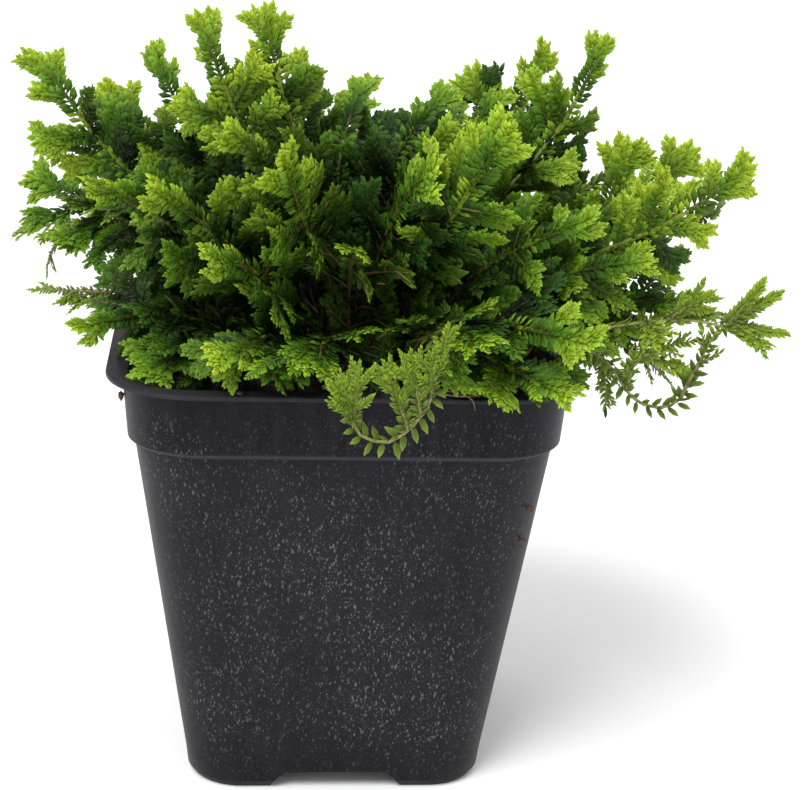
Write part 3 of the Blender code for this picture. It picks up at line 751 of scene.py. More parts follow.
# %% Scatter peat crumbs, bark and white grains
GRAINS = (
    # piece, shape stretched along its axes, grains per square metre, smallest, largest, lift, finish
    ("peat_crumbs", (1.0, 0.8, 0.7), 420000, 0.5 * MM, 1.6 * MM, 0.1 * MM, peat_finish),
    ("bark_chips", (1.6, 0.6, 0.35), 26000, 1.2 * MM, 3.0 * MM, 0.4 * MM, bark_finish),
    ("white_grains", (1.0, 0.9, 0.8), 12000, 0.6 * MM, 1.7 * MM, 0.3 * MM, grain_finish),
)
grain_scatter = scatter_tree()
for index, (name, stretch, density, smallest, largest, lift, finish) in enumerate(GRAINS):
    grain = lump(name + "_shape", stretch, index)
    mesh = grown_mesh(name, mix_plug.data, grain_scatter, {
        "Grain": grain, "Density": density, "Smallest": smallest, "Largest": largest, "Lift": lift,
        "Seed": index, "Finish": finish})
    piece_of(name, mesh, "potting_mix")
    bpy.data.objects.remove(grain, do_unlink=True)
    print(name, len(mesh.polygons), "faces")


# %% [markdown]
# ## Where the stems run
#
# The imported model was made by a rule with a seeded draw, and the same rule gives the stems their routes
# here, so that every fine spray stands where its coarse one did. A root stands under its tip but nearer
# to the middle of the pot, and roots push each other apart until each has room. From its root a stem
# climbs straight up and then leans outwards in one arch, the lower its tip the more it leans.

# %% Where sprays and runners reach
# where the topmost shoot of each spray ends (mm), by the side of the mound that it stands on
SPRAY_TIPS = {
    "left": ((-58, 6, 137), (-46, 20, 130), (-47, -18, 118), (-49, -24, 93), (-38, -34, 88),
             (-61, 20, 112)),
    "top": ((-38, 4, 139), (-28, -4, 146), (-17, -6, 149), (-9, 16, 137), (3, 6, 135), (19, 2, 133),
            (31, 12, 132), (40, 16, 140), (49, -2, 144)),
    "right": ((59, 6, 122), (66, -9, 124), (71, -28, 124), (66, -20, 98), (54, -27, 108)),
    "front": ((-34, -36, 120), (-23, -46, 111), (-12, -44, 125), (-21, -51, 95), (-7, -53, 94),
              (0, -44, 113), (10, -42, 125), (23, -48, 132), (22, -54, 99), (38, -50, 99),
              (41, -36, 117), (36, -53, 89)),
    "middle": ((-20, -20, 128), (17, -18, 128)),
    "back": ((-44, 44, 117), (-22, 56, 110), (2, 59, 108), (26, 55, 111), (48, 44, 113), (62, 26, 106),
             (-22, 36, 130), (4, 34, 131), (27, 34, 129)),
}
FULL_SPRAYS = [(f"spray_{side}_{number}", tip) for side, tips in SPRAY_TIPS.items()
               for number, tip in enumerate(tips, 1)]

# the points that each runner's stem passes after it leaves the mix (mm)
RUNNERS = {
    "runner_right_1": ((33, -33, 92), (47, -46, 100), (57, -53, 103), (63, -57, 103)),
    "runner_right_2": ((34, -27, 91), (45, -37, 92), (52, -39, 84), (59, -39, 83), (62, -38, 87)),
    "runner_right_3": ((37, -10, 90), (47, -13, 92), (54, -17, 88), (60, -19, 86)),
    "runner_left_1": ((-32, 27, 92), (-45, 38, 97), (-54, 44, 97), (-62, 49, 95)),
    "runner_left_2": ((-30, -10, 90), (-42, -10, 95), (-47, -9, 95), (-51, -9, 94)),
    "runner_front_1": ((12, -33, 92), (14, -47, 97), (13, -55, 89), (7, -57, 82), (1, -57.5, 82.5),
                       (-1, -58, 86)),
    "runner_back_1": ((4, 30, 90), (7, 42, 94), (9, 49, 93), (11, 55, 91)),
}
print("to grow:", len(FULL_SPRAYS), "sprays and", len(RUNNERS), "runners")

# %% Routes with frames along them


def held(value, low=0.0, high=1.0):
    """The value, kept between two limits."""
    return min(max(value, low), high)


class Route:
    """A smooth line with a length along it, and frames that turn no more than the line does."""

    def __init__(self, points, facing):
        self.points = points
        self.along = [0.0]
        for before, after in zip(points, points[1:]):
            self.along.append(self.along[-1] + (after - before).length)
        self.length = self.along[-1]
        last = len(points) - 1
        self.ahead = [(points[min(index + 1, last)] - points[max(index - 1, 0)]).normalized()
                      for index in range(len(points))]
        normal = facing - facing.dot(self.ahead[-1]) * self.ahead[-1]
        self.normals = [normal.normalized()]
        for before, after in zip(reversed(self.ahead[:-1]), reversed(self.ahead[1:])):
            turned = self.normals[0].copy()
            turned.rotate(after.rotation_difference(before))
            self.normals.insert(0, turned)

    def frame(self, distance):
        """Matrix with X along the line, Y to its side and Z towards the leaves' upper face."""
        distance = held(distance, 0.0, self.length)
        index = min(bisect.bisect_right(self.along, distance) - 1, len(self.points) - 2)
        share = (distance - self.along[index]) / (self.along[index + 1] - self.along[index])
        ahead = self.ahead[index].lerp(self.ahead[index + 1], share).normalized()
        normal = self.normals[index].lerp(self.normals[index + 1], share)
        normal = (normal - normal.dot(ahead) * ahead).normalized()
        return placed(ahead, normal.cross(ahead), normal,
                      self.points[index].lerp(self.points[index + 1], share))


# %% Smooth lines


def bezier(start, start_pull, end_pull, end, count):
    """A cubic line between two points, pulled towards two others."""
    line = []
    for step in range(count + 1):
        t = step / count
        line.append(start * (1 - t) ** 3 + start_pull * (3 * t * (1 - t) ** 2)
                    + end_pull * (3 * t * t * (1 - t)) + end * t ** 3)
    return line


def through(points, count):
    """A smooth line through points: each point's slope is that between its two neighbours."""
    line = [points[0]]
    for index in range(len(points) - 1):
        start = points[index]
        end = points[index + 1]
        before = points[max(index - 1, 0)]
        after = points[min(index + 2, len(points) - 1)]
        piece = bezier(start, start + (end - before) / 6, end - (after - start) / 6, end, count)
        line.extend(piece[1:])
    return line


# %% Roots
ROOT_LIMIT = 34.0 * MM
ROOT_SPACING = 6.6 * MM
ROOT_ROUNDS = 200
# how far out a root stands, as a share of where its tip is, under the mound's foot and its top
ROOT_SHARE_LOW = 0.48
ROOT_SHARE_HIGH = 0.34
RUNNER_ROOT_SHARE = 0.92
MOUND_LOW = 85.0 * MM
MOUND_HIGH = 150.0 * MM


def mound_share(height):
    """How far up the mound a height is, from 0 at its foot to 1 at its top."""
    return held((height - MOUND_LOW) / (MOUND_HIGH - MOUND_LOW))


def wanted_root(tip):
    """Under the tip but nearer to the pot's middle, the more so the higher the tip."""
    share = mixed(ROOT_SHARE_LOW, ROOT_SHARE_HIGH, mound_share(tip.z))
    return Vector((tip.x * share, tip.y * share, 0.0))


def spread_roots(wanted):
    """Push roots apart until each has room for its hole, and keep them inside the pot."""
    spots = np.array([[root.x, root.y] for root in wanted])
    for _ in range(ROOT_ROUNDS):
        moved = False
        for one in range(len(spots)):
            for two in range(one + 1, len(spots)):
                apart = spots[two] - spots[one]
                distance = float(np.linalg.norm(apart))
                if distance < ROOT_SPACING:
                    push = apart / distance * (ROOT_SPACING - distance) / 2
                    spots[one] -= push
                    spots[two] += push
                    moved = True
        spots = np.clip(spots, -ROOT_LIMIT, ROOT_LIMIT)
        if not moved:
            break
    return [Vector((float(x), float(y), 0.0)) for x, y in spots]


# %% How the stems rise and which way their leaves look
SEED = 11
STEM_TOP = 80.5 * MM
FAN_LENGTH = 14.5 * MM
END_FAN_REACH = 0.8 * FAN_LENGTH
# how steeply a stem arrives at its tip, at the mound's foot and at its top
RISE_LOW = math.radians(-12)
RISE_HIGH = math.radians(74)
# how far it climbs straight up, and how early it turns to its tip, as shares of the way
CLIMB_SHARE = 0.45
LEAST_CLIMB = 13.0 * MM
ARRIVAL_SHARE = 0.35
# which way leaves look, and the chance in that (radians)
BACK_FROM = 50.0 * MM
FACE_OUT = 0.4
FACE_VIEWER = 0.7
FACE_UP = 0.8
RUNNER_FACE_VIEWER = 0.6
TWIST_CHANCE = 0.6
RUNNER_TWIST_CHANCE = 0.4
ARCH_STEPS = 36
RUNNER_STEPS = 10
RUNNER_END_STEPS = 3

# %% The route of a spray, and of a runner


def look_direction(place):
    """Leaves look forwards, and those at the back look backwards."""
    return Vector((0, 1 if place.y > BACK_FROM else -1, 0))


def outward_to(tip):
    return Vector((tip.x, tip.y, 0.0)).normalized()


def facing_at(tip):
    """Which way leaves look on a shoot that ends there: outwards, to the viewer and up."""
    return outward_to(tip) * FACE_OUT + look_direction(tip) * FACE_VIEWER + Vector((0, 0, FACE_UP))


def full_route(tip, root, twist):
    """From the mix straight up, then outwards in one arch to the tip."""
    rise = mixed(RISE_LOW, RISE_HIGH, mound_share(tip.z))
    arrival = outward_to(tip) * math.cos(rise) + Vector((0, 0, math.sin(rise)))
    neck = Vector((root.x, root.y, STEM_TOP))
    end = tip - arrival * END_FAN_REACH
    span = (end - neck).length
    climb = max(CLIMB_SHARE * span, LEAST_CLIMB)
    line = bezier(neck, neck + Vector((0, 0, climb)), end - arrival * (ARRIVAL_SHARE * span), end,
                  ARCH_STEPS)
    facing = facing_at(tip)
    facing.rotate(Matrix.Rotation(twist, 3, arrival))
    return Route(line, facing)


def runner_route(points, root, twist):
    """From the mix through a runner's own points."""
    neck = Vector((root.x, root.y, STEM_TOP))
    line = through([neck] + [Vector(point) * MM for point in points], RUNNER_STEPS)
    last = line[-1] - line[-1 - RUNNER_END_STEPS]
    facing = Vector((0, 0, FACE_UP)) + look_direction(line[-1]) * RUNNER_FACE_VIEWER
    facing.rotate(Matrix.Rotation(twist, 3, last.normalized()))
    return Route(line, facing)


# %% Plan all routes


def plan_routes():
    """The route of every spray and runner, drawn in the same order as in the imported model."""
    draw = random.Random(SEED)
    tips = [Vector(tip) * MM for _, tip in FULL_SPRAYS]
    starts = [Vector(points[0]) * MM for points in RUNNERS.values()]
    wanted = [wanted_root(tip) for tip in tips] + [start * RUNNER_ROOT_SHARE for start in starts]
    roots = spread_roots(wanted)
    sprays = {}
    for (name, _), tip, root in zip(FULL_SPRAYS, tips, roots):
        sprays[name] = full_route(tip, root, draw.uniform(-TWIST_CHANCE, TWIST_CHANCE))
    runners = {}
    for (name, points), root in zip(RUNNERS.items(), roots[len(tips):]):
        twist = draw.uniform(-RUNNER_TWIST_CHANCE, RUNNER_TWIST_CHANCE)
        runners[name] = runner_route(points, root, twist)
    return sprays, runners


spray_routes, runner_routes = plan_routes()
print("routes:", len(spray_routes), "sprays,", len(runner_routes), "runners; longest",
      round(max(route.length for route in spray_routes.values()) / MM), "mm")


# %% [markdown]
# ## How a shoot grows
#
# A spikemoss shoot is flat. Its axis forks again and again in one plane. It carries two ranks of large
# leaves that stand out to the sides, and small ones that lie along its upper face: two ranks on the real
# plant, one here. Near a tip everything is young: leaves are short and crowded, they point forwards, and
# the last forks are only lobes a few millimetres long, so the tip looks like a blunt green club.
#
# A skeleton is a mesh whose points are the places where leaves stand, joined by edges along each axis.
# Each point notes what its leaves need: which way is ahead and which is up, how long and how wide open
# its leaves are, and how old it is, with painted shade added where it lies deep in the mound. Geometry
# Nodes turn that skeleton into stems and leaves later.

# %% The skeleton
DIRECTIONS = ("ahead", "upper")
NOTES = ("ahead", "upper", "leaf_length", "leaf_angle", "spacing", "girth", "age_and_shade", "tone")


class Skeleton:
    """Points where leaves stand, joined along each axis, with notes for the leaves."""

    def __init__(self):
        self.points = []
        self.edges = []
        self.notes = {note: [] for note in NOTES}

    def add_axis(self, stations):
        """Stations are dictionaries with a point and all notes, from the axis's base to its tip."""
        first = len(self.points)
        for station in stations:
            self.points.append(station["point"])
            for note in NOTES:
                self.notes[note].append(station[note])
        self.edges.extend((index, index + 1) for index in range(first, len(self.points) - 1))

    def mesh(self, name):
        """The skeleton as points and edges, its notes as attributes of the points."""
        made = bpy.data.meshes.new(name)
        made.from_pydata([tuple(point) for point in self.points], self.edges, [])
        for note, values in self.notes.items():
            if note in DIRECTIONS:
                layer = made.attributes.new(note, "FLOAT_VECTOR", "POINT")
                layer.data.foreach_set("vector", [part for value in values for part in value])
            else:
                layer = made.attributes.new(note, "FLOAT", "POINT")
                layer.data.foreach_set("value", values)
        return made


# %% Leaves along an axis
# how far apart leaves are near the tip and far behind it, and how long and how open they are there
YOUNG_PITCH = 0.47 * MM
OLD_PITCH = 1.3 * MM
YOUNG_REACH = 6.0 * MM
OLD_REACH = 16.0 * MM
LEAF_FULL = 3.2 * MM
LEAF_YOUNG_SHARE = 0.42
LEAF_RIPE_SHARE = 0.70
LEAF_RIPENS = 2.2 * MM
LEAF_OPENING = (math.radians(10), math.radians(38), math.radians(60))


def smooth(share):
    """A share that starts and ends gently."""
    share = held(share)
    return share * share * (3 - 2 * share)


def pitch_at(left):
    """Distance between pairs of leaves, from how much of the axis is left."""
    return mixed(YOUNG_PITCH, OLD_PITCH, smooth((left - YOUNG_REACH) / (OLD_REACH - YOUNG_REACH)))


def opening_at(left):
    """How far leaves stand off the axis."""
    young, ripe, old = LEAF_OPENING
    return young + (ripe - young) * smooth(left / LEAF_RIPENS) + (old - ripe) * smooth(left / OLD_REACH)


def length_at(left, full):
    """Leaf length: short at the tip, ripe a few millimetres behind it, longest on the old stem."""
    ripe = (LEAF_RIPE_SHARE - LEAF_YOUNG_SHARE) * smooth(left / LEAF_RIPENS)
    return full * (LEAF_YOUNG_SHARE + ripe + (1 - LEAF_RIPE_SHARE) * smooth(left / OLD_REACH))


print("leaves at the tip and 5, 10 and 20 mm behind it:",
      [round(length_at(left * MM, LEAF_FULL) / MM, 1) for left in (0, 5, 10, 20)], "mm long")


# %% Walk along an axis
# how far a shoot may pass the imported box, how far it keeps clear of the mix and the lip, and how it is
# shortened where it can't
BOX_MARGIN = 1.0 * MM
SIDE_CLEAR = 1.0 * MM
LIP_CLEAR = 0.6 * MM
TRIES = 4
BACK_OFF = 0.6 * MM
LEAST_SHOOT = 2.0 * MM
LEAST_STEP = 0.2 * MM


def blocked(point):
    """True in the pot's lip and wall, in the mix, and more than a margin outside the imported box."""
    for axis in range(3):
        if not CAD_LOW[axis] - BOX_MARGIN < point[axis] < CAD_HIGH[axis] + BOX_MARGIN:
            return True
    out = max(abs(point.x), abs(point.y))
    if out < COLLAR_TOP_HALF - WALL:
        return point.z < mix_height(point.x, point.y) + SIDE_CLEAR
    return out < LIP_HALF + SIDE_CLEAR and point.z < POT_HEIGHT + LIP_CLEAR


def walk(place, length, bend, curl, looseness):
    """Frames along an axis that bends sideways and curls down evenly, with what is left at each."""
    frames = []
    here = place.copy()
    left = length
    while left > LEAST_STEP:
        frames.append((left, here))
        step = min(pitch_at(left) * looseness, left)
        aside = Matrix.Rotation(bend * step / length, 4, "Z")
        down = Matrix.Rotation(curl * step / length, 4, "Y")
        here = here @ (aside @ down) @ Matrix.Translation((step, 0, 0))
        left -= step
    frames.append((0.0, here))
    return frames


def free_walk(place, length, bend, curl, looseness):
    """A walk that is cut short where it would run into the pot or leave the box."""
    for _ in range(TRIES):
        frames = walk(place, length, bend, curl, looseness)
        stop = next((left for left, here in frames if blocked(here.translation)), None)
        if stop is None:
            return frames
        length -= stop + BACK_OFF
        if length < LEAST_SHOOT:
            return None
    return None


# %% Age, painted shade and habits
# a leaf ages along its shoot, and deep inside the mound, whose dome is given, it is painted darker as
# shade
AGE_ALONG = 0.50
PAINTED_SHADE_INSIDE = 0.60
FRESH_REACH = 11.0 * MM
OLDER_BY_LEVEL = 0.7 * MM
DOME_CENTRE = Vector((0.0, 0.0, 85.0)) * MM
DOME_RADII = Vector((68.0, 60.0, 62.0)) * MM
DOME_SKIN = 0.92
DOME_DEPTH = 0.62
# habits: where an axis forks, how long its branch is next to what is left, and how far it turns in
# degrees, for the axis and for its branches
CLUB = (((0.26, 0.42, 52), (0.44, 0.76, 44), (0.60, 1.00, 38), (0.76, 1.05, 34)),
        ((0.42, 0.90, 40), (0.68, 1.00, 34)))
NARROW = (((0.38, 0.42, 48), (0.60, 0.88, 42), (0.77, 1.00, 36)), ((0.50, 0.95, 38),))
FEATHER = (((0.52, 0.42, 46), (0.77, 1.00, 36)), ())
SPLIT = (((0.34, 0.36, 50), (0.60, 0.95, 42), (0.80, 1.00, 34)), ((0.62, 1.00, 36),))
TWIG = (((0.40, 0.45, 50), (0.66, 0.60, 44)), ())
PLAIN = ((), ())
SPRIG = (((0.35, 0.40, 50), (0.62, 0.60, 42)), ())
BROAD = (((0.30, 0.55, 52), (0.50, 0.70, 48), (0.62, 1.00, 30)),
         ((0.55, 0.90, 34), (0.74, 1.00, 30)))
HABITS = (CLUB, NARROW, SPLIT, FEATHER)
END_HABITS = (CLUB, NARROW, SPLIT)


def shelter(point):
    """How deep a point is inside the mound: 0 at its surface, 1 well inside."""
    across = Vector((point - DOME_CENTRE)[axis] / DOME_RADII[axis] for axis in range(3)).length
    return smooth((DOME_SKIN - across) / DOME_DEPTH)


# the painted shade that depth in the mound adds to the age, at the dome's foot, middle and top
print("age by shelter at the dome's foot, middle and top:",
      [round(PAINTED_SHADE_INSIDE * shelter(Vector((0.0, 0.0, height)) * MM), 2) for height in (90, 115, 145)])


# %% Girths, forks and chances of a shoot
FORK_EXTRA = 0.7 * MM
# the shortest axis that forks, the girth at the base and the leaves' share of full length, by level:
# the shoot's own axis, its branches and their branches
LEAST_FORKED = (6.0 * MM, 5.0 * MM)
GIRTH_BASE = (0.42 * MM, 0.32 * MM, 0.26 * MM)
LEAF_BY_LEVEL = (1.0, 0.92, 0.84)
GIRTH_TIP = 0.16 * MM
# chance in a shoot's bend, in where a fork stands and how far it turns and rolls; a branch bends back
BEND_CHANCE = 0.18
FORK_CHANCE = 0.04
TURN_CHANCE = (0.82, 1.15)
ROLL_CHANCE = 0.22
BRANCH_BEND = -0.3
TRIAL_PLACE = Vector((0.0, 0.0, 130.0)) * MM

# %% Grow a shoot with its branches


def station_at(here, leaf_length, left, spacing, girth, age_and_shade, tone):
    """The notes for one place on an axis, from how much of the axis is left there."""
    return {"point": here.translation, "ahead": here.col[0].xyz, "upper": here.col[2].xyz,
            "leaf_length": leaf_length, "leaf_angle": opening_at(left), "spacing": spacing,
            "girth": girth, "age_and_shade": age_and_shade, "tone": tone}


def grow_shoot(skeleton, place, length, level, draw, style):
    """One axis and its branches; gives back the place of the axis's tip, or None if it can't grow."""
    bend = draw.uniform(-BEND_CHANCE, BEND_CHANCE) if level == 0 else style["bend"]
    frames = free_walk(place, length, bend, draw.uniform(*style["curl"]), style["looseness"])
    if frames is None:
        return None
    length = frames[0][0]
    full = style["leaf"] * LEAF_BY_LEVEL[level]
    stations = []
    for left, here in frames:
        along = AGE_ALONG * smooth((left + OLDER_BY_LEVEL * level) / FRESH_REACH)
        # painted shade: the deeper a point lies in the mound, the older and darker it is made
        age_and_shade = along + PAINTED_SHADE_INSIDE * shelter(here.translation) + style["wane"]
        girth = mixed(GIRTH_TIP, GIRTH_BASE[level], left / length)
        stations.append(station_at(here, length_at(left, full), left, pitch_at(left), girth,
                                   held(age_and_shade, style["least_age"]), style["tone"]))
    skeleton.add_axis(stations)
    tip = frames[-1][1]
    if level == len(LEAST_FORKED) or length < LEAST_FORKED[level]:
        return tip
    side = style["side"]
    for at, share, fork_angle in style["forks"][level]:
        at = at + draw.uniform(-FORK_CHANCE, FORK_CHANCE)
        side = -side
        wanted = length * (1 - at)
        branch = wanted * share + FORK_EXTRA
        here = min(frames, key=lambda pair: abs(pair[0] - wanted))[1]
        angle = side * math.radians(fork_angle) * draw.uniform(*TURN_CHANCE)
        roll = Matrix.Rotation(draw.uniform(-ROLL_CHANCE, ROLL_CHANCE), 4, "X")
        turned = here @ roll @ Matrix.Rotation(angle, 4, "Z")
        grow_shoot(skeleton, turned, branch, level + 1, draw,
                   {**style, "side": side, "bend": BRANCH_BEND * angle})
    return tip


trial = Skeleton()
grow_shoot(trial, Matrix.Translation(TRIAL_PLACE), FAN_LENGTH, 0, random.Random(SEED), {
    "tone": 0.0, "leaf": LEAF_FULL, "least_age": 0.0, "side": 1, "wane": 0.0, "curl": (0.0, 0.0),
    "looseness": 1.0, "forks": CLUB})
print("a shoot of", round(FAN_LENGTH / MM, 1), "mm:", len(trial.points), "places for leaves")

# %% [markdown]
# ## One leaf
#
# A side leaf is a slim pointed blade, raised a little along its middle. It is made as a thin closed body
# of six triangles: with tens of thousands of them, every face counts. A small leaf of the upper rank has
# four. A runner's leaf is seen alone and keeps its width over more of its length, so it has ten. All are
# one unit long, so that the tree can scale them to their true length. Two attributes go along for the
# finish: how far along the leaf a point is, and how near its margin.

# %% Leaf shapes
LEAF_WIDTH = 0.215
RUNNER_INNER_WIDTH = 0.80 * 0.20
RUNNER_OUTER_WIDTH = 0.86 * 0.20
SMALL_WIDTH = 0.22
# the points of each shape (along, aside and up), its faces, and how near the margin each point is
LEAF_SHAPES = (
    ("side_leaf_shape",
     ((0, 0, 0), (0.68, LEAF_WIDTH, 0), (0.62, -LEAF_WIDTH, 0), (0.55, 0, 0.07), (1.0, 0, -0.03)),
     ((0, 2, 3), (0, 3, 1), (2, 4, 3), (3, 4, 1), (0, 1, 2), (1, 4, 2)),
     (0, 1, 1, 0, 1)),
    ("runner_leaf_shape",
     ((0, 0, 0), (0.24, RUNNER_INNER_WIDTH, 0), (0.24, -RUNNER_INNER_WIDTH, 0), (0.46, 0, 0.06),
      (0.62, RUNNER_OUTER_WIDTH, -0.02), (0.62, -RUNNER_OUTER_WIDTH, -0.02), (1.0, 0, -0.06)),
     ((0, 2, 3), (0, 3, 1), (2, 5, 3), (3, 4, 1), (5, 6, 3), (3, 6, 4), (0, 1, 2), (1, 4, 5, 2),
      (4, 6, 5)),
     (0, 1, 1, 0, 1, 1, 1)),
    ("small_leaf_shape",
     ((0, 0, 0), (0.42, SMALL_WIDTH, 0), (0.42, -SMALL_WIDTH, 0), (1, 0, 0.10)),
     ((0, 2, 1), (0, 1, 3), (1, 2, 3), (2, 0, 3)),
     (0, 1, 1, 0.5)),
)


def leaf_helper(name, points, faces, margins):
    """A leaf that is only there to be copied, with how far along and how near the margin it is."""
    helper = mesh_object(name, points, faces, peat_finish)
    for note, values in (("blade", [point[0] for point in points]), ("margin", margins)):
        layer = helper.data.attributes.new(note, "FLOAT", "POINT")
        layer.data.foreach_set("value", values)
    return helper


def triangles_in(mesh):
    return sum(len(face.vertices) - 2 for face in mesh.polygons)


leaf_helpers = [leaf_helper(*shape) for shape in LEAF_SHAPES]
side_leaf_shape, runner_leaf_shape, small_leaf_shape = leaf_helpers
print("triangles:", ", ".join(f"{leaf.name} {triangles_in(leaf.data)}" for leaf in leaf_helpers))

# %% [markdown]
# ## The tree that puts leaves on a skeleton
#
# The tree does two things. It turns the edges of the skeleton into curves and sweeps a small circle
# along them, as thick as the points say: those are the stems. And it puts three leaves at every point,
# one on each side and a small one on top. Their place is turned by the point's own directions, then
# opened to the side by the leaf angle, with a little chance in the angle, the lift and the length. One
# side is shifted forwards by half a step, because the leaves of this plant are not quite opposite.

# %% Ranks of leaves
LEAST_LEAF = 0.2 * MM
CHANCES_PER_RANK = 10
SHADE_CHANCE = 0.5
# each rank: which side it is on, the share of the spacing that it is shifted by, how far out from the
# stem's middle it stands as a share of the girth, and how much it lifts and rolls (radians)
RANKS = (
    (1, 0.5, 0.1, 0.06, -0.22),
    (-1, 0.0, 0.1, 0.06, 0.22),
    (0, 0.0, 0.85, -0.20, 0.0),
)

# %% Build the tree


def leafy_tree():
    """Side and small leaves on every point of a skeleton, and stems along its edges."""
    graph, given, way_out = geometry_graph("Leafy shoots", (
        ("Side leaf", "Object"), ("Small leaf", "Object"), ("Leaf finish", "Material"),
        ("Stem finish", "Material"), ("Stem sides", "Int"), ("Stem step", "Float"), ("Seed", "Int"),
        ("Angle chance", "Float"), ("Lift chance", "Float"), ("Size chance", "Float"),
        ("Small share", "Float"), ("Small angle", "Float")))

    def note(name, kind="FLOAT"):
        return graph.add("GeometryNodeInputNamedAttribute", {"Name": name}, data_type=kind,
                         out="Attribute")

    def chance(reach, number):
        """A random value up to the reach either way; each number gives another draw."""
        return graph.add("FunctionNodeRandomValue", {
            "Min": graph.times(reach, -1.0), "Max": reach, "Seed": graph.plus(given["Seed"], number)},
            data_type="FLOAT", out="Value")

    def scaled(vector, size):
        return graph.add("ShaderNodeVectorMath", {0: vector, "Scale": size}, operation="SCALE")

    ahead, upper = (note(name, "FLOAT_VECTOR") for name in DIRECTIONS)
    leaf_length = note("leaf_length")
    leafy = graph.add("FunctionNodeCompare", {"A": leaf_length, "B": LEAST_LEAF}, data_type="FLOAT",
                      operation="GREATER_THAN")
    along_stem = graph.add("FunctionNodeAxesToRotation", {"Primary Axis": ahead, "Secondary Axis": upper},
                           primary_axis="X", secondary_axis="Z")
    ranks = []
    for number, (side, forward, out, tilt, tip_over) in enumerate(RANKS):
        small = side == 0
        chances = CHANCES_PER_RANK * number
        shape = graph.add("GeometryNodeObjectInfo", {
            "Object": given["Small leaf" if small else "Side leaf"]}, out="Geometry")
        shift = scaled(ahead, graph.times(note("spacing"), forward))
        raised = scaled(upper, graph.times(note("girth"), out))
        offset = graph.add("ShaderNodeVectorMath", {0: shift, 1: raised}, operation="ADD")
        points = graph.add("GeometryNodeSetPosition", {"Geometry": given["Geometry"], "Offset": offset})
        opened = graph.times(note("leaf_angle"), float(side))
        angle = graph.plus(opened, chance(given["Small angle" if small else "Angle chance"], chances + 1))
        lift = graph.plus(chance(given["Lift chance"], chances + 2), tilt)
        roll = graph.plus(chance(given["Lift chance"], chances + 3), tip_over)
        turn = graph.add("FunctionNodeRotateRotation", {
            "Rotation": along_stem,
            "Rotate By": graph.add("ShaderNodeCombineXYZ", {"X": roll, "Y": lift, "Z": angle})},
            rotation_space="LOCAL")
        size = graph.times(leaf_length, graph.plus(chance(given["Size chance"], chances + 4), 1.0))
        if small:
            size = graph.times(size, given["Small share"])
        copies = graph.add("GeometryNodeInstanceOnPoints", {
            "Points": points, "Selection": leafy, "Instance": shape, "Rotation": turn, "Scale": size})
        ranks.append(graph.add("GeometryNodeStoreNamedAttribute", {
            "Geometry": copies, "Name": "shade", "Value": chance(SHADE_CHANCE, chances + 5)},
            data_type="FLOAT", domain="INSTANCE"))
    leaves = graph.add("GeometryNodeRealizeInstances", {"Geometry": graph.join(ranks)})
    leaves = graph.add("GeometryNodeSetMaterial", {"Geometry": leaves, "Material": given["Leaf finish"]})
    lines = graph.add("GeometryNodeMeshToCurve", {"Mesh": given["Geometry"]})
    lines = graph.add("GeometryNodeResampleCurve", {"Curve": lines, "Length": given["Stem step"]},
                      mode="LENGTH")
    circle = graph.add("GeometryNodeCurvePrimitiveCircle", {
        "Resolution": given["Stem sides"], "Radius": 1.0})
    stems = graph.add("GeometryNodeCurveToMesh", {
        "Curve": lines, "Profile Curve": circle, "Scale": note("girth"), "Fill Caps": True})
    stems = graph.add("GeometryNodeSetShadeSmooth", {"Geometry": stems})
    stems = graph.add("GeometryNodeSetMaterial", {"Geometry": stems, "Material": given["Stem finish"]})
    graph.tree.links.new(graph.join((leaves, stems)), way_out)
    return graph.tree


leafy_shoots = leafy_tree()
print("leafy shoots:", len(leafy_shoots.nodes), "nodes")

# %% [markdown]
# ## Leaf and stem finishes
#
# Colour follows age. The newest tips are a bright yellow-green, a few weeks later the leaves are mid
# green, and those deep inside the mound are painted dark as shade, by an amount added to their age. The
# age with this painted shade was noted at every point of the skeleton, so the finish only has to read it.
# Each shoot has a tone of its own and each leaf a shade of its own. A leaf is painted darker at its base
# and lighter at its tip, as shade and light between overlapping leaves, and its margin is a little paler
# than its middle.

# %% Colours of leaves and stems
LEAF_GLOSS = 0.12
# slope and start of what changes evenly: a leaf's brightness from its base to its tip, painted shade
# at the base where leaves overlap and painted light at the tip, its hue with its shoot's tone (0.5 leaves
# a hue as it is), and its roughness with the mottle
PAINTED_SHADE_AND_LIGHT_ALONG = (0.92, 0.42)
HUE_BY_TONE = (-0.026, 0.497)
ROUGHNESS_BY_MOTTLE = (0.2, 0.34)
# how far a leaf's own shade, its shoot's tone and the fine mottle change its brightness
SHADE_REACH = 0.34
TONE_REACH = 0.34
MOTTLE_REACH = 0.5
RIM_SATURATION = 0.82
RIM_BRIGHTNESS = 1.7
LEAF_MOTTLE = (900.0, 3.0)
STEM_MOTTLE = (700.0, 4.0)
# how strongly the mottle shades as a relief, and how high it stands
LEAF_BUMP = (0.25, 0.08 * MM)
STEM_BUMP = (0.4, 0.15 * MM)
# colours by age, from the newest (0) to the oldest (1); the age includes the painted shade inside the
# mound, so the dark end stands for shade too
LEAF_COLOURS = ((0.0, (0.225, 0.345, 0.003)), (0.14, (0.135, 0.250, 0.003)),
                (0.36, (0.054, 0.132, 0.003)), (0.65, (0.019, 0.052, 0.004)),
                (1.0, (0.004, 0.011, 0.002)))
RUNNER_LEAF_COLOURS = ((0.0, (0.165, 0.275, 0.004)), (0.35, (0.092, 0.155, 0.008)),
                       (0.75, (0.065, 0.095, 0.014)), (1.0, (0.030, 0.042, 0.010)))
STEM_COLOURS = ((0.0, (0.180, 0.230, 0.020)), (0.35, (0.120, 0.140, 0.020)),
                (0.7, (0.070, 0.055, 0.016)), (1.0, (0.028, 0.018, 0.010)))
RUNNER_STEM_COLOURS = ((0.0, (0.180, 0.220, 0.030)), (0.5, (0.200, 0.190, 0.060)),
                       (1.0, (0.120, 0.085, 0.040)))


# %% Make the finishes


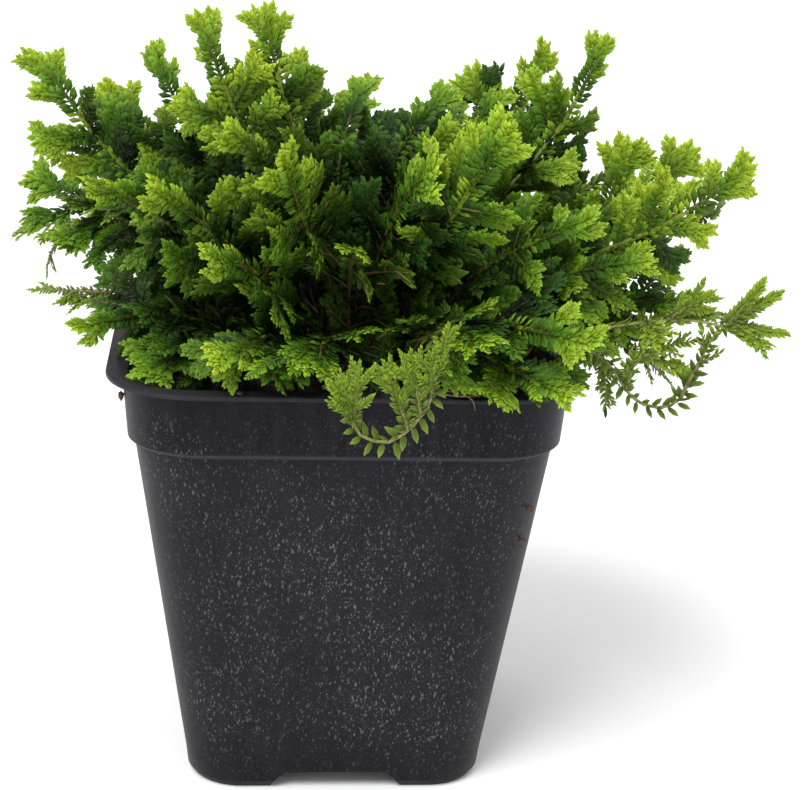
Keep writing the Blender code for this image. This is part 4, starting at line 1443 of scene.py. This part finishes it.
def build_leaf_finish(name, colours, pale):
    """Colour by age and painted mound shade, changed for each shoot and leaf, painted shade and light
    along a leaf, a pale margin.
    """
    graph = Finish(name)
    graph.shader.inputs["Specular IOR Level"].default_value = LEAF_GLOSS
    mottle = graph.noise(*LEAF_MOTTLE)
    colour = graph.ramp(graph.attribute("age_and_shade"), colours)
    shade = graph.times(graph.attribute("shade"), SHADE_REACH)
    tone = graph.times(graph.attribute("tone"), TONE_REACH)
    spots = graph.times(graph.maths("SUBTRACT", mottle, 0.5), MOTTLE_REACH)
    value = graph.plus(graph.plus(shade, tone), graph.plus(spots, 1.0))
    # painted shade at the leaf's base, where leaves overlap, and painted light at its tip
    value = graph.times(value, graph.line(graph.attribute("blade"), *PAINTED_SHADE_AND_LIGHT_ALONG))
    hue = graph.line(graph.attribute("tone"), *HUE_BY_TONE)
    colour = graph.add("ShaderNodeHueSaturation", {"Hue": hue, "Value": value, "Color": colour})
    rim = graph.times(graph.maths("POWER", graph.attribute("margin"), 2.0), pale)
    paler = graph.add("ShaderNodeHueSaturation", {
        "Saturation": RIM_SATURATION, "Value": RIM_BRIGHTNESS, "Color": colour})
    graph.wire(graph.blend(rim, colour, paler), "Base Color")
    graph.wire(graph.line(mottle, *ROUGHNESS_BY_MOTTLE), "Roughness")
    graph.bump(mottle, *LEAF_BUMP)
    return graph.material


def build_stem_finish(name, colours):
    """Colour by age, which includes painted shade inside the mound, with a fine mottle."""
    graph = Finish(name)
    mottle = graph.noise(*STEM_MOTTLE)
    graph.wire(graph.add("ShaderNodeHueSaturation", {
        "Value": graph.plus(mottle, 0.5), "Color": graph.ramp(graph.attribute("age_and_shade"), colours)}),
        "Base Color")
    graph.bump(mottle, *STEM_BUMP)
    return graph.material


leaf_finish = build_leaf_finish("spikemoss_leaf", LEAF_COLOURS, pale=0.45)
stem_finish = build_stem_finish("spikemoss_stem", STEM_COLOURS)
runner_leaf_finish = build_leaf_finish("runner_leaf", RUNNER_LEAF_COLOURS, pale=0.4)
runner_stem_finish = build_stem_finish("runner_stem", RUNNER_STEM_COLOURS)
print("finishes: leaf, stem, runner leaf and runner stem")

# %% [markdown]
# ## The sprays
#
# The main stem of a spray follows its route and ends in a shoot. Below it side shoots stand where the
# imported model has its fans, left and right by turns. More of them stand opposite those and in between,
# a little shorter, and a fifth of these are left out. The shoots near the mix are shorter and older, and
# with the painted shade deep in the mound they fill its inside with dark green. Loose twigs droop from
# some of the outer sprays.

# %% Sizes of a spray
# how far below the stem's end the imported model's first fan is, and how far apart its fans are
FIRST_FAN = 2.5 * MM
FAN_SPACING = 6.3 * MM
SIDE_ANGLE = math.radians(52)
LOWEST_SHOOT = 5.0 * MM
SPRAY_GIRTH = (0.72 * MM, 0.48 * MM)
SPRAY_BARE = 4.0 * MM
SPRAY_CURL = (0.0, 0.55)
SPRAY_TONE = 0.4
STEM_LEAF_SHARE = 0.92
STEM_FOOT = 75.0 * MM
STEM_AGE_ALONG = 0.35
STEM_AGE_REACH = 40.0 * MM
# the shoot at the end starts a little before the stem's end
END_OVERLAP = 0.8 * MM
END_SHARE = 0.95
BOLD_FRESHER = 0.30
# side shoots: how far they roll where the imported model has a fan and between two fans, their chance
# in turn, lift, length and tone, and what changes from the top of a spray to its foot
FAN_ROLL = 0.45
BETWEEN_ROLL = 1.2
SIDE_TURN = (0.75, 1.1)
SIDE_LIFT = (-0.35, 0.2)
SIDE_LENGTH = (0.8, 1.08)
SIDE_TONE = 0.25
SHORT_SHARE = 0.78
SKIPPED_SHARE = 0.20
LOW_AFTER = 10
LOW_SHORTER = 0.3
LOW_OLDER = 0.2
# how much older than its place a shoot is: dark, middle and fresh ones, and how many of each
WANES = ((0.30, 0.54), (0.10, 0.24), (-0.10, 0.06))
WANE_WEIGHTS = (3, 3, 4)
# loose twigs: where they start, how they turn and droop, and their length, leaves and age
TWIG_FROM = 0.25
TWIG_TURN = (0.5, 1.0)
TWIG_DROOP = (0.1, 0.6)
TWIG_LENGTH = (12.0 * MM, 20.0 * MM)
TWIG_LEAF = 0.85
TWIG_WANE = (0.0, 0.25)
TWIG_STYLE = {"forks": TWIG, "curl": (0.3, 1.3), "looseness": 1.6, "least_age": 0.15}
# the shoot at the end of these is longer by that factor, with larger leaves
BOLD_SPRAYS = {"spray_front_8": 1.22, "spray_front_7": 1.1, "spray_front_3": 1.15,
               "spray_left_1": 1.05, "spray_right_3": 1.05, "spray_front_10": 1.1}
# how many loose twigs each of these has
TWIGS_ON = {"spray_right_1": 3, "spray_right_2": 3, "spray_right_3": 5, "spray_right_4": 8,
            "spray_right_5": 7, "spray_front_11": 4, "spray_front_12": 4, "spray_front_5": 3,
            "spray_left_1": 3, "spray_left_3": 5, "spray_left_4": 7, "spray_left_5": 5,
            "spray_left_6": 5, "spray_back_1": 3, "spray_back_3": 3, "spray_back_5": 3,
            "spray_back_6": 5}


# %% The stem of a spray and its loose twigs


def main_stem(skeleton, route, girths, leaf, first_leaf, style):
    """The stem from inside the mix to the end of its route, bare up to its first leaf."""
    foot = route.points[0]
    stations = [{"point": Vector((foot.x, foot.y, STEM_FOOT)), "ahead": Vector((0, 0, 1)),
                 "upper": Vector((0, -1, 0)), "leaf_length": 0.0, "leaf_angle": 0.0,
                 "spacing": 1.0 * MM, "girth": girths[0], "age_and_shade": 1.0, "tone": style["tone"]}]
    distance = 0.0
    while distance < route.length:
        here = route.frame(distance)
        left = route.length - distance + END_FAN_REACH
        along = STEM_AGE_ALONG * smooth(left / STEM_AGE_REACH)
        # painted shade: the deeper a point lies in the mound, the older and darker it is made
        age_and_shade = along + PAINTED_SHADE_INSIDE * shelter(here.translation) + style["older"]
        stations.append(station_at(here, leaf if distance > first_leaf else 0.0, left, style["pitch"],
                                   mixed(*girths, distance / route.length), held(age_and_shade), style["tone"]))
        distance += style["pitch"]
    skeleton.add_axis(stations)


def loose_twigs(skeleton, route, count, style, draw):
    """Thin drooping twigs with spaced leaves, on the lower part of an outer spray."""
    for order in range(count):
        distance = route.length * (TWIG_FROM + (1 - TWIG_FROM) * (order + 0.5) / count)
        side = 1 if order % 2 else -1
        place = route.frame(distance) @ Matrix.Rotation(side * draw.uniform(*TWIG_TURN), 4, "Z")
        place = place @ Matrix.Rotation(draw.uniform(*TWIG_DROOP), 4, "Y")
        grow_shoot(skeleton, place, draw.uniform(*TWIG_LENGTH), 0, draw, {
            **style, **TWIG_STYLE, "side": side, "leaf": TWIG_LEAF * style["leaf"],
            "wane": draw.uniform(*TWIG_WANE)})


# %% A whole spray


def side_of(half_step):
    """Sides by turns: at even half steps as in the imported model, and opposite just above them."""
    order = (half_step + 1) // 2
    side = 1 if order % 2 else -1
    return side if half_step % 2 == 0 else -side


def side_shoots(skeleton, route, style, draw):
    """Pairs of shoots from the stem's end down to the mix."""
    half_step = 1
    while route.length - FIRST_FAN - 0.5 * FAN_SPACING * half_step > LOWEST_SHOOT:
        distance = route.length - FIRST_FAN - 0.5 * FAN_SPACING * half_step
        between = half_step % 2 == 1
        spread = BETWEEN_ROLL if between else FAN_ROLL
        low = smooth(half_step / LOW_AFTER)
        for side in (side_of(half_step), -side_of(half_step)):
            extra = between or side != side_of(half_step)
            if extra and draw.random() < SKIPPED_SHARE:
                continue
            turn = Matrix.Rotation(draw.uniform(-spread, spread), 4, "X")
            angle = Matrix.Rotation(side * SIDE_ANGLE * draw.uniform(*SIDE_TURN), 4, "Z")
            lift = Matrix.Rotation(draw.uniform(*SIDE_LIFT), 4, "Y")
            length = FAN_LENGTH * draw.uniform(*SIDE_LENGTH)
            length = length * (SHORT_SHARE if extra else 1.0) * (1 - LOW_SHORTER * low)
            wane = draw.choices(WANES, WANE_WEIGHTS)[0]
            grow_shoot(skeleton, route.frame(distance) @ turn @ angle @ lift, length, 0, draw, {
                **style, "tone": style["tone"] + draw.uniform(-SIDE_TONE, SIDE_TONE), "side": side,
                "least_age": LOW_OLDER * low, "wane": draw.uniform(*wane),
                "forks": draw.choice(HABITS)})
        half_step += 1


def spray_skeleton(name, route, twigs, boldness, draw):
    """All shoots of one spray, from the one at its end down to those over the lip."""
    skeleton = Skeleton()
    style = {"tone": draw.uniform(-SPRAY_TONE, SPRAY_TONE), "leaf": LEAF_FULL, "least_age": 0.0,
             "side": draw.choice((-1, 1)), "pitch": OLD_PITCH, "older": 0.0, "wane": 0.0,
             "curl": SPRAY_CURL, "looseness": 1.0}
    main_stem(skeleton, route, SPRAY_GIRTH, STEM_LEAF_SHARE * LEAF_FULL, SPRAY_BARE, style)
    grow_shoot(skeleton, route.frame(route.length - END_OVERLAP), END_SHARE * FAN_LENGTH * boldness,
               0, draw, {**style, "wane": BOLD_FRESHER * (1 - boldness), "leaf": LEAF_FULL * boldness,
                         "forks": BROAD if boldness > 1 else draw.choice(END_HABITS)})
    side_shoots(skeleton, route, style, draw)
    loose_twigs(skeleton, route, twigs, style, draw)
    for distance, tip in skirt[name]:
        grow_to(skeleton, route.frame(distance).translation, tip, draw, {
            **style, "side": draw.choice((-1, 1)), "wane": draw.uniform(*SKIRT_WANE),
            "forks": draw.choice(HABITS)})
    return skeleton


# %% [markdown]
# Some shoots of the real plant lie over the pot's lip and hide parts of it. A viewer sees at once where
# they end, so these are grown to given places. Each starts from the spray's stem that is nearest to a
# usual shoot's length away from its tip and points most nearly that way.

# %% Shoots that hang over the lip
SKIRT_TIPS = (
    # where each shoot ends (mm)
    (-55, 4, 104), (-62, 10, 104), (-45, -12, 102), (-49, -8, 96), (-38, -24, 97), (-46, -20, 92),
    (-40, -30, 91), (-33, -36, 94), (-36, -38, 89), (-51, 0, 101), (-29, -42, 93), (41, -40, 96),
    (45, -30, 98), (47, -32, 91), (37, -46, 91), (43, -40, 89), (56, -20, 99), (55, -22, 93),
    (53, -14, 102), (63, -26, 100), (67, -10, 106), (29, -48, 98), (25, -52, 90), (20, -50, 91),
    (33, -48, 89), (60, -8, 104), (-10, -48, 96), (-18, -46, 96), (-4, -50, 91), (-11, -48, 91),
    (-23, -44, 91), (-45, 30, 96), (-38, 38, 95), (-28, 46, 95), (-15, 50, 96), (0, 51, 95),
    (15, 52, 94), (28, 48, 96), (40, 42, 97), (50, 32, 98), (56, 16, 100), (-52, 20, 100),
    (-32, 30, 99), (-15, 37, 100), (6, 39, 99), (23, 37, 98), (39, 30, 98), (-40, 18, 99),
    (-41, 9, 91), (-42, 0, 92), (-39, 17, 92), (-46, 8, 97), (-40, -12, 90),
)
SKIRT_REACH = 12.0 * MM
SKIRT_CHECK = 1.5 * MM
SKIRT_WANE = (0.06, 0.34)
TURN_PENALTY = 0.4


def nearest_stem(tip):
    """The spray, and the distance along it, from which a shoot of usual length reaches the tip."""
    best = None
    for name, route in spray_routes.items():
        distance = LOWEST_SHOOT
        while distance < route.length:
            place = route.frame(distance)
            away = tip - place.translation
            turned = 1 - away.normalized().dot(place.col[0].xyz)
            misfit = abs(away.length - SKIRT_REACH) + TURN_PENALTY * SKIRT_REACH * turned
            if best is None or misfit < best[0]:
                best = (misfit, name, distance)
            distance += SKIRT_CHECK
    return best[1], best[2]


def grow_to(skeleton, start, tip, draw, style):
    """A shoot from a place on a stem to a wanted tip, with its upper face to the light."""
    ahead = (tip - start).normalized()
    upper = facing_at(tip)
    upper = (upper - upper.dot(ahead) * ahead).normalized()
    place = placed(ahead, upper.cross(ahead), upper, start)
    return grow_shoot(skeleton, place, (tip - start).length, 0, draw, style)


skirt = {name: [] for name in spray_routes}
for spot in SKIRT_TIPS:
    tip = Vector(spot) * MM
    name, distance = nearest_stem(tip)
    skirt[name].append((distance, tip))
print("shoots over the lip:", len(SKIRT_TIPS), "on", sum(1 for tips in skirt.values() if tips), "sprays")

# %% Grow all sprays
LEAFY_VALUES = {"Side leaf": side_leaf_shape, "Small leaf": small_leaf_shape, "Leaf finish": leaf_finish,
                "Stem finish": stem_finish, "Stem sides": 4, "Stem step": 2.6 * MM, "Angle chance": 0.16,
                "Lift chance": 0.24, "Size chance": 0.12, "Small share": 0.62, "Small angle": 0.45}
# the tree draws with this many seeds between two pieces, and each spray's shoots have their own draw
SEEDS_APART = 100
SPRAY_DRAWS = SEED + 50
# the finishes read these two notes; the others have done their work once the leaves are in place
KEPT_NOTES = ("age_and_shade", "tone")


def leafy_piece(name, skeleton, number, slot, values):
    """Leaves and stems on a skeleton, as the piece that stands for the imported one."""
    mesh = grown_mesh(name + "_leaves", skeleton.mesh(name + "_skeleton"), leafy_shoots,
                      {**values, "Seed": SEEDS_APART * number})
    for layer in list(mesh.attributes):
        if layer.name in NOTES and layer.name not in KEPT_NOTES:
            mesh.attributes.remove(layer)
    return piece_of(name + "_leaves", mesh, slot, name)


triangles = 0
for number, (name, route) in enumerate(spray_routes.items()):
    skeleton = spray_skeleton(name, route, TWIGS_ON.get(name, 0), BOLD_SPRAYS.get(name, 1.0),
                              random.Random(SPRAY_DRAWS + number))
    piece = leafy_piece(name, skeleton, number, "spikemoss_leaf", LEAFY_VALUES)
    triangles += triangles_in(piece.data)
print("sprays:", len(spray_routes), "with", triangles, "triangles")

# %% [markdown]
# ## The runners
#
# A few thin shoots grew out over the lip and hang there. They are older and paler: a straw-coloured
# stem with leaves in loose pairs, and one or a few short green shoots at the end. Where the photograph
# shows more shoots on one, a table says where each ends, and each is grown to its place.

# %% Sizes of the runners
RUNNER_GIRTH = (0.38 * MM, 0.27 * MM)
RUNNER_PITCH = 2.0 * MM
RUNNER_BARE = 5.0 * MM
RUNNER_TONE = (-0.2, 0.4)
RUNNER_CURL = (0.0, 0.4)
RUNNER_LEAF = 0.9
RUNNER_TWIG_LEAF = 0.8
RUNNER_LEAST_AGE = 0.05
RUNNER_OLDER = 0.25
RUNNER_WANE = (0.0, 0.12)
FIRST_RUNNER = 60
RUNNER_DRAWS = SEED + 150
# how many end shoots there are, how long they and the leaves on the stem are, and how many loose twigs
RUNNER_HABITS = {
    "runner_right_1": (3, 9.0 * MM, 3.0 * MM, 0), "runner_right_2": (1, 4.5 * MM, 2.9 * MM, 0),
    "runner_right_3": (1, 6.5 * MM, 2.9 * MM, 2), "runner_left_1": (3, 9.0 * MM, 3.0 * MM, 2),
    "runner_left_2": (1, 4.0 * MM, 1.7 * MM, 2), "runner_front_1": (1, 7.0 * MM, 3.3 * MM, 0),
    "runner_back_1": (2, 9.0 * MM, 3.0 * MM, 2),
}
# more shoots of the runners: the share of the route where each starts, where it ends (mm), its habit,
# and how far apart and how long its leaves are, both as shares of what is usual
RUNNER_SHOOTS = {
    "runner_front_1": (
        (0.97, (-2.4, -59.0, 93.4), BROAD, 0.9, 0.7), (0.99, (0.8, -59.5, 95.4), CLUB, 0.9, 0.7),
        (0.78, (5.4, -57.5, 95.6), NARROW, 0.9, 0.8), (0.72, (8.8, -57.5, 97.0), CLUB, 0.9, 0.8),
        (0.66, (12.4, -57.5, 97.6), CLUB, 0.9, 0.8), (0.60, (16.0, -55.5, 101.0), FEATHER, 1.0, 0.8),
        (0.56, (15.4, -56.0, 94.5), NARROW, 1.0, 0.8)),
    "runner_right_1": (
        (1.0, (72.0, -57.0, 110.0), PLAIN, 0.6, 0.85), (1.0, (69.5, -57.5, 111.0), PLAIN, 0.6, 0.80),
        (0.99, (74.2, -57.0, 102.6), PLAIN, 0.6, 0.85), (0.80, (60.0, -55.0, 109.0), CLUB, 0.9, 0.8)),
    "runner_right_2": (
        (0.93, (65.4, -40.0, 99.5), TWIG, 2.3, 1.0), (0.66, (57.0, -40.0, 98.0), TWIG, 2.3, 1.0),
        (0.55, (47.5, -40.0, 82.5), TWIG, 2.0, 1.0), (0.70, (52.0, -40.0, 93.0), TWIG, 2.3, 1.0)),
    "runner_right_3": (
        (0.80, (60.0, -24.0, 98.0), NARROW, 1.0, 0.8), (0.90, (66.0, -22.0, 92.0), TWIG, 2.0, 1.0)),
    "runner_left_2": (
        (0.85, (-60.5, -9.0, 95.5), SPRIG, 1.3, 0.6), (0.70, (-55.5, -9.0, 92.8), SPRIG, 1.3, 0.6)),
}
RUNNER_VALUES = {**LEAFY_VALUES, "Side leaf": runner_leaf_shape, "Leaf finish": runner_leaf_finish,
                 "Stem finish": runner_stem_finish, "Angle chance": 0.25, "Lift chance": 0.4,
                 "Small share": 0.5}


# %% Grow the runners


def runner_skeleton(name, route, draw):
    """A runner's skeleton, and the places of the twigs' ends that have dried."""
    ends, end_length, stem_leaf, twigs = RUNNER_HABITS[name]
    skeleton = Skeleton()
    dried = []
    style = {"tone": draw.uniform(*RUNNER_TONE), "leaf": RUNNER_LEAF * LEAF_FULL,
             "least_age": RUNNER_LEAST_AGE, "side": draw.choice((-1, 1)), "pitch": RUNNER_PITCH,
             "older": RUNNER_OLDER, "wane": 0.0, "forks": CLUB, "curl": RUNNER_CURL, "looseness": 1.0}
    main_stem(skeleton, route, RUNNER_GIRTH, stem_leaf, RUNNER_BARE, style)
    for order in range(ends):
        if order == 0:
            place = route.frame(route.length - END_OVERLAP)
        else:
            side = 1 if order % 2 else -1
            place = route.frame(route.length - FIRST_FAN - FAN_SPACING * order)
            place = place @ Matrix.Rotation(side * SIDE_ANGLE, 4, "Z")
        grow_shoot(skeleton, place, end_length, 0, draw, style)
    loose_twigs(skeleton, route, twigs, {**style, "leaf": RUNNER_TWIG_LEAF * stem_leaf}, draw)
    for share, tip, forks, looseness, leaf_share in RUNNER_SHOOTS.get(name, ()):
        end = grow_to(skeleton, route.frame(share * route.length).translation, Vector(tip) * MM, draw, {
            **style, "side": draw.choice((-1, 1)), "forks": forks, "looseness": looseness,
            "leaf": leaf_share * style["leaf"], "wane": draw.uniform(*RUNNER_WANE) * looseness})
        if forks is TWIG and end is not None:
            dried.append(end)
    return skeleton, dried


dry_places = []
for number, (name, route) in enumerate(runner_routes.items()):
    skeleton, dried = runner_skeleton(name, route, random.Random(RUNNER_DRAWS + number))
    dry_places.extend(dried)
    leafy_piece(name, skeleton, FIRST_RUNNER + number, "runner_leaf", RUNNER_VALUES)
for helper in leaf_helpers:
    bpy.data.objects.remove(helper, do_unlink=True)
print("runners:", len(runner_routes), "with", len(dry_places), "dry tips")

# %% [markdown]
# ## Crumbs and fibres
#
# A few small things lie about as on any potted plant: crumbs of bark that stick to the outside of the
# pot, and thin pale rootlets and fibres on the mix and over the lip. A rootlet is a thin tube round a
# smooth line, closed at both ends, and a crumb is one of the pebbles from above. Some twigs of the
# runners have dried to black at the tip: a short dark spindle on the end of each shows that.

# %% Places of crumbs and fibres
WALL_CRUMBS = (
    # where it sticks (mm) and its length, width and thickness (mm)
    ((-41.6, -29.0, 80.6), (1.4, 1.0, 2.0)), ((34.6, -34.1, 61.0), (1.5, 0.8, 1.0)),
    ((35.3, -32.5, 60.2), (0.8, 0.7, 1.5)), ((33.7, -32.8, 54.2), (1.6, 0.9, 1.0)),
    ((33.2, -33.4, 52.9), (0.8, 0.6, 1.3)), ((-20.0, -43.6, 85.8), (1.3, 0.9, 0.8)),
    ((22.5, -43.2, 85.8), (1.0, 1.4, 0.7)),
)
FIBRES = (
    # the points that it passes (mm) and its radius (mm)
    (((-27, -37.5, 79.5), (-24, -38.5, 81.2), (-20, -38.2, 80.4), (-17, -38.8, 81.0)), 0.28),
    (((-12, -38.5, 79.6), (-9, -38.9, 81.0), (-5, -38.2, 80.3)), 0.40),
    (((10, -40.5, 84.2), (14, -42.6, 86.0), (19, -44.0, 85.9), (24, -43.4, 86.0)), 0.16),
    (((12, -41.5, 85.9), (17, -42.0, 86.2), (21, -44.6, 85.8), (22, -45.0, 83.5)), 0.13),
    (((-36, -30, 79.0), (-38.4, -27, 80.6), (-38.8, -22, 80.2)), 0.22),
)
FIBRE_SIDES = 6
FIBRE_STEPS = 6
FIBRE_FACING = Vector((0.1, 0.2, 1.0))
# how thin a fibre is at its ends, as a share of its radius
FIBRE_END = 0.35
CRUMB_SEEDS = 70
DRY_TIP_LENGTH = 1.7 * MM
DRY_TIP_RADIUS = 0.36 * MM
# how far along the spindle each ring is, and its share of the radius
DRY_TIP_RINGS = ((-0.30, 0.35), (0.20, 0.9), (0.55, 1.0), (0.85, 0.6), (1.0, 0.15))
fibre_finish = build_mix_finish("pale_rootlet", (0.110, 0.070, 0.035), (0.340, 0.250, 0.150), 1500.0, 0.8)
dry_finish = build_mix_finish("dry_tip", (0.004, 0.004, 0.006), (0.016, 0.012, 0.012), 1500.0, 0.7)

# %% Bodies of crumbs and fibres


def ring_round(place, along, radius):
    """A ring of points round a place's X axis."""
    return [place @ Vector((along, radius * across, radius * up)) for across, up in turns(FIBRE_SIDES)]


def tube(points, radius):
    """A closed tube round a line, thinner towards its ends."""
    route = Route(points, FIBRE_FACING)
    rings = []
    for index, distance in enumerate(route.along):
        share = index / (len(points) - 1)
        swell = math.sin(math.pi * share) ** 0.5
        rings.append(ring_round(route.frame(distance), 0.0, radius * mixed(FIBRE_END, 1.0, swell)))
    return skin(rings)


def dry_tip(place):
    """A short dark spindle on the end of a twig."""
    return skin([ring_round(place, share * DRY_TIP_LENGTH, girth * DRY_TIP_RADIUS)
                 for share, girth in DRY_TIP_RINGS])


def joined(parts):
    """Several closed bodies in one list of points and one list of faces."""
    points = []
    faces = []
    for more_points, more_faces in parts:
        faces.extend(tuple(index + len(points) for index in face) for face in more_faces)
        points.extend(more_points)
    return points, faces


def crumb_body(place, size, seed):
    """A pebble in its place, all in millimetres until it is scaled."""
    helper = lump("crumb_shape", size, seed)
    points = [(vertex.co + Vector(place)) * MM for vertex in helper.data.vertices]
    faces = [tuple(face.vertices) for face in helper.data.polygons]
    bpy.data.objects.remove(helper, do_unlink=True)
    return points, faces


# %% Lay crumbs and fibres
fibre_bodies = [tube(through([Vector(point) * MM for point in points], FIBRE_STEPS), radius * MM)
                for points, radius in FIBRES]
crumb_bodies = [crumb_body(place, size, CRUMB_SEEDS + number)
                for number, (place, size) in enumerate(WALL_CRUMBS)]
tip_bodies = [dry_tip(place) for place in dry_places]
for name, bodies, finish, slot in (
        ("rootlets", fibre_bodies, fibre_finish, "potting_mix"),
        ("wall_crumbs", crumb_bodies, bark_finish, "potting_mix"),
        ("dry_tips", tip_bodies, dry_finish, "runner_leaf")):
    small_things = mesh_object(name, *joined(bodies), finish)
    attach(small_things, "root")
print("fibres:", len(FIBRES), "crumbs:", len(WALL_CRUMBS), "dry tips:", len(dry_places))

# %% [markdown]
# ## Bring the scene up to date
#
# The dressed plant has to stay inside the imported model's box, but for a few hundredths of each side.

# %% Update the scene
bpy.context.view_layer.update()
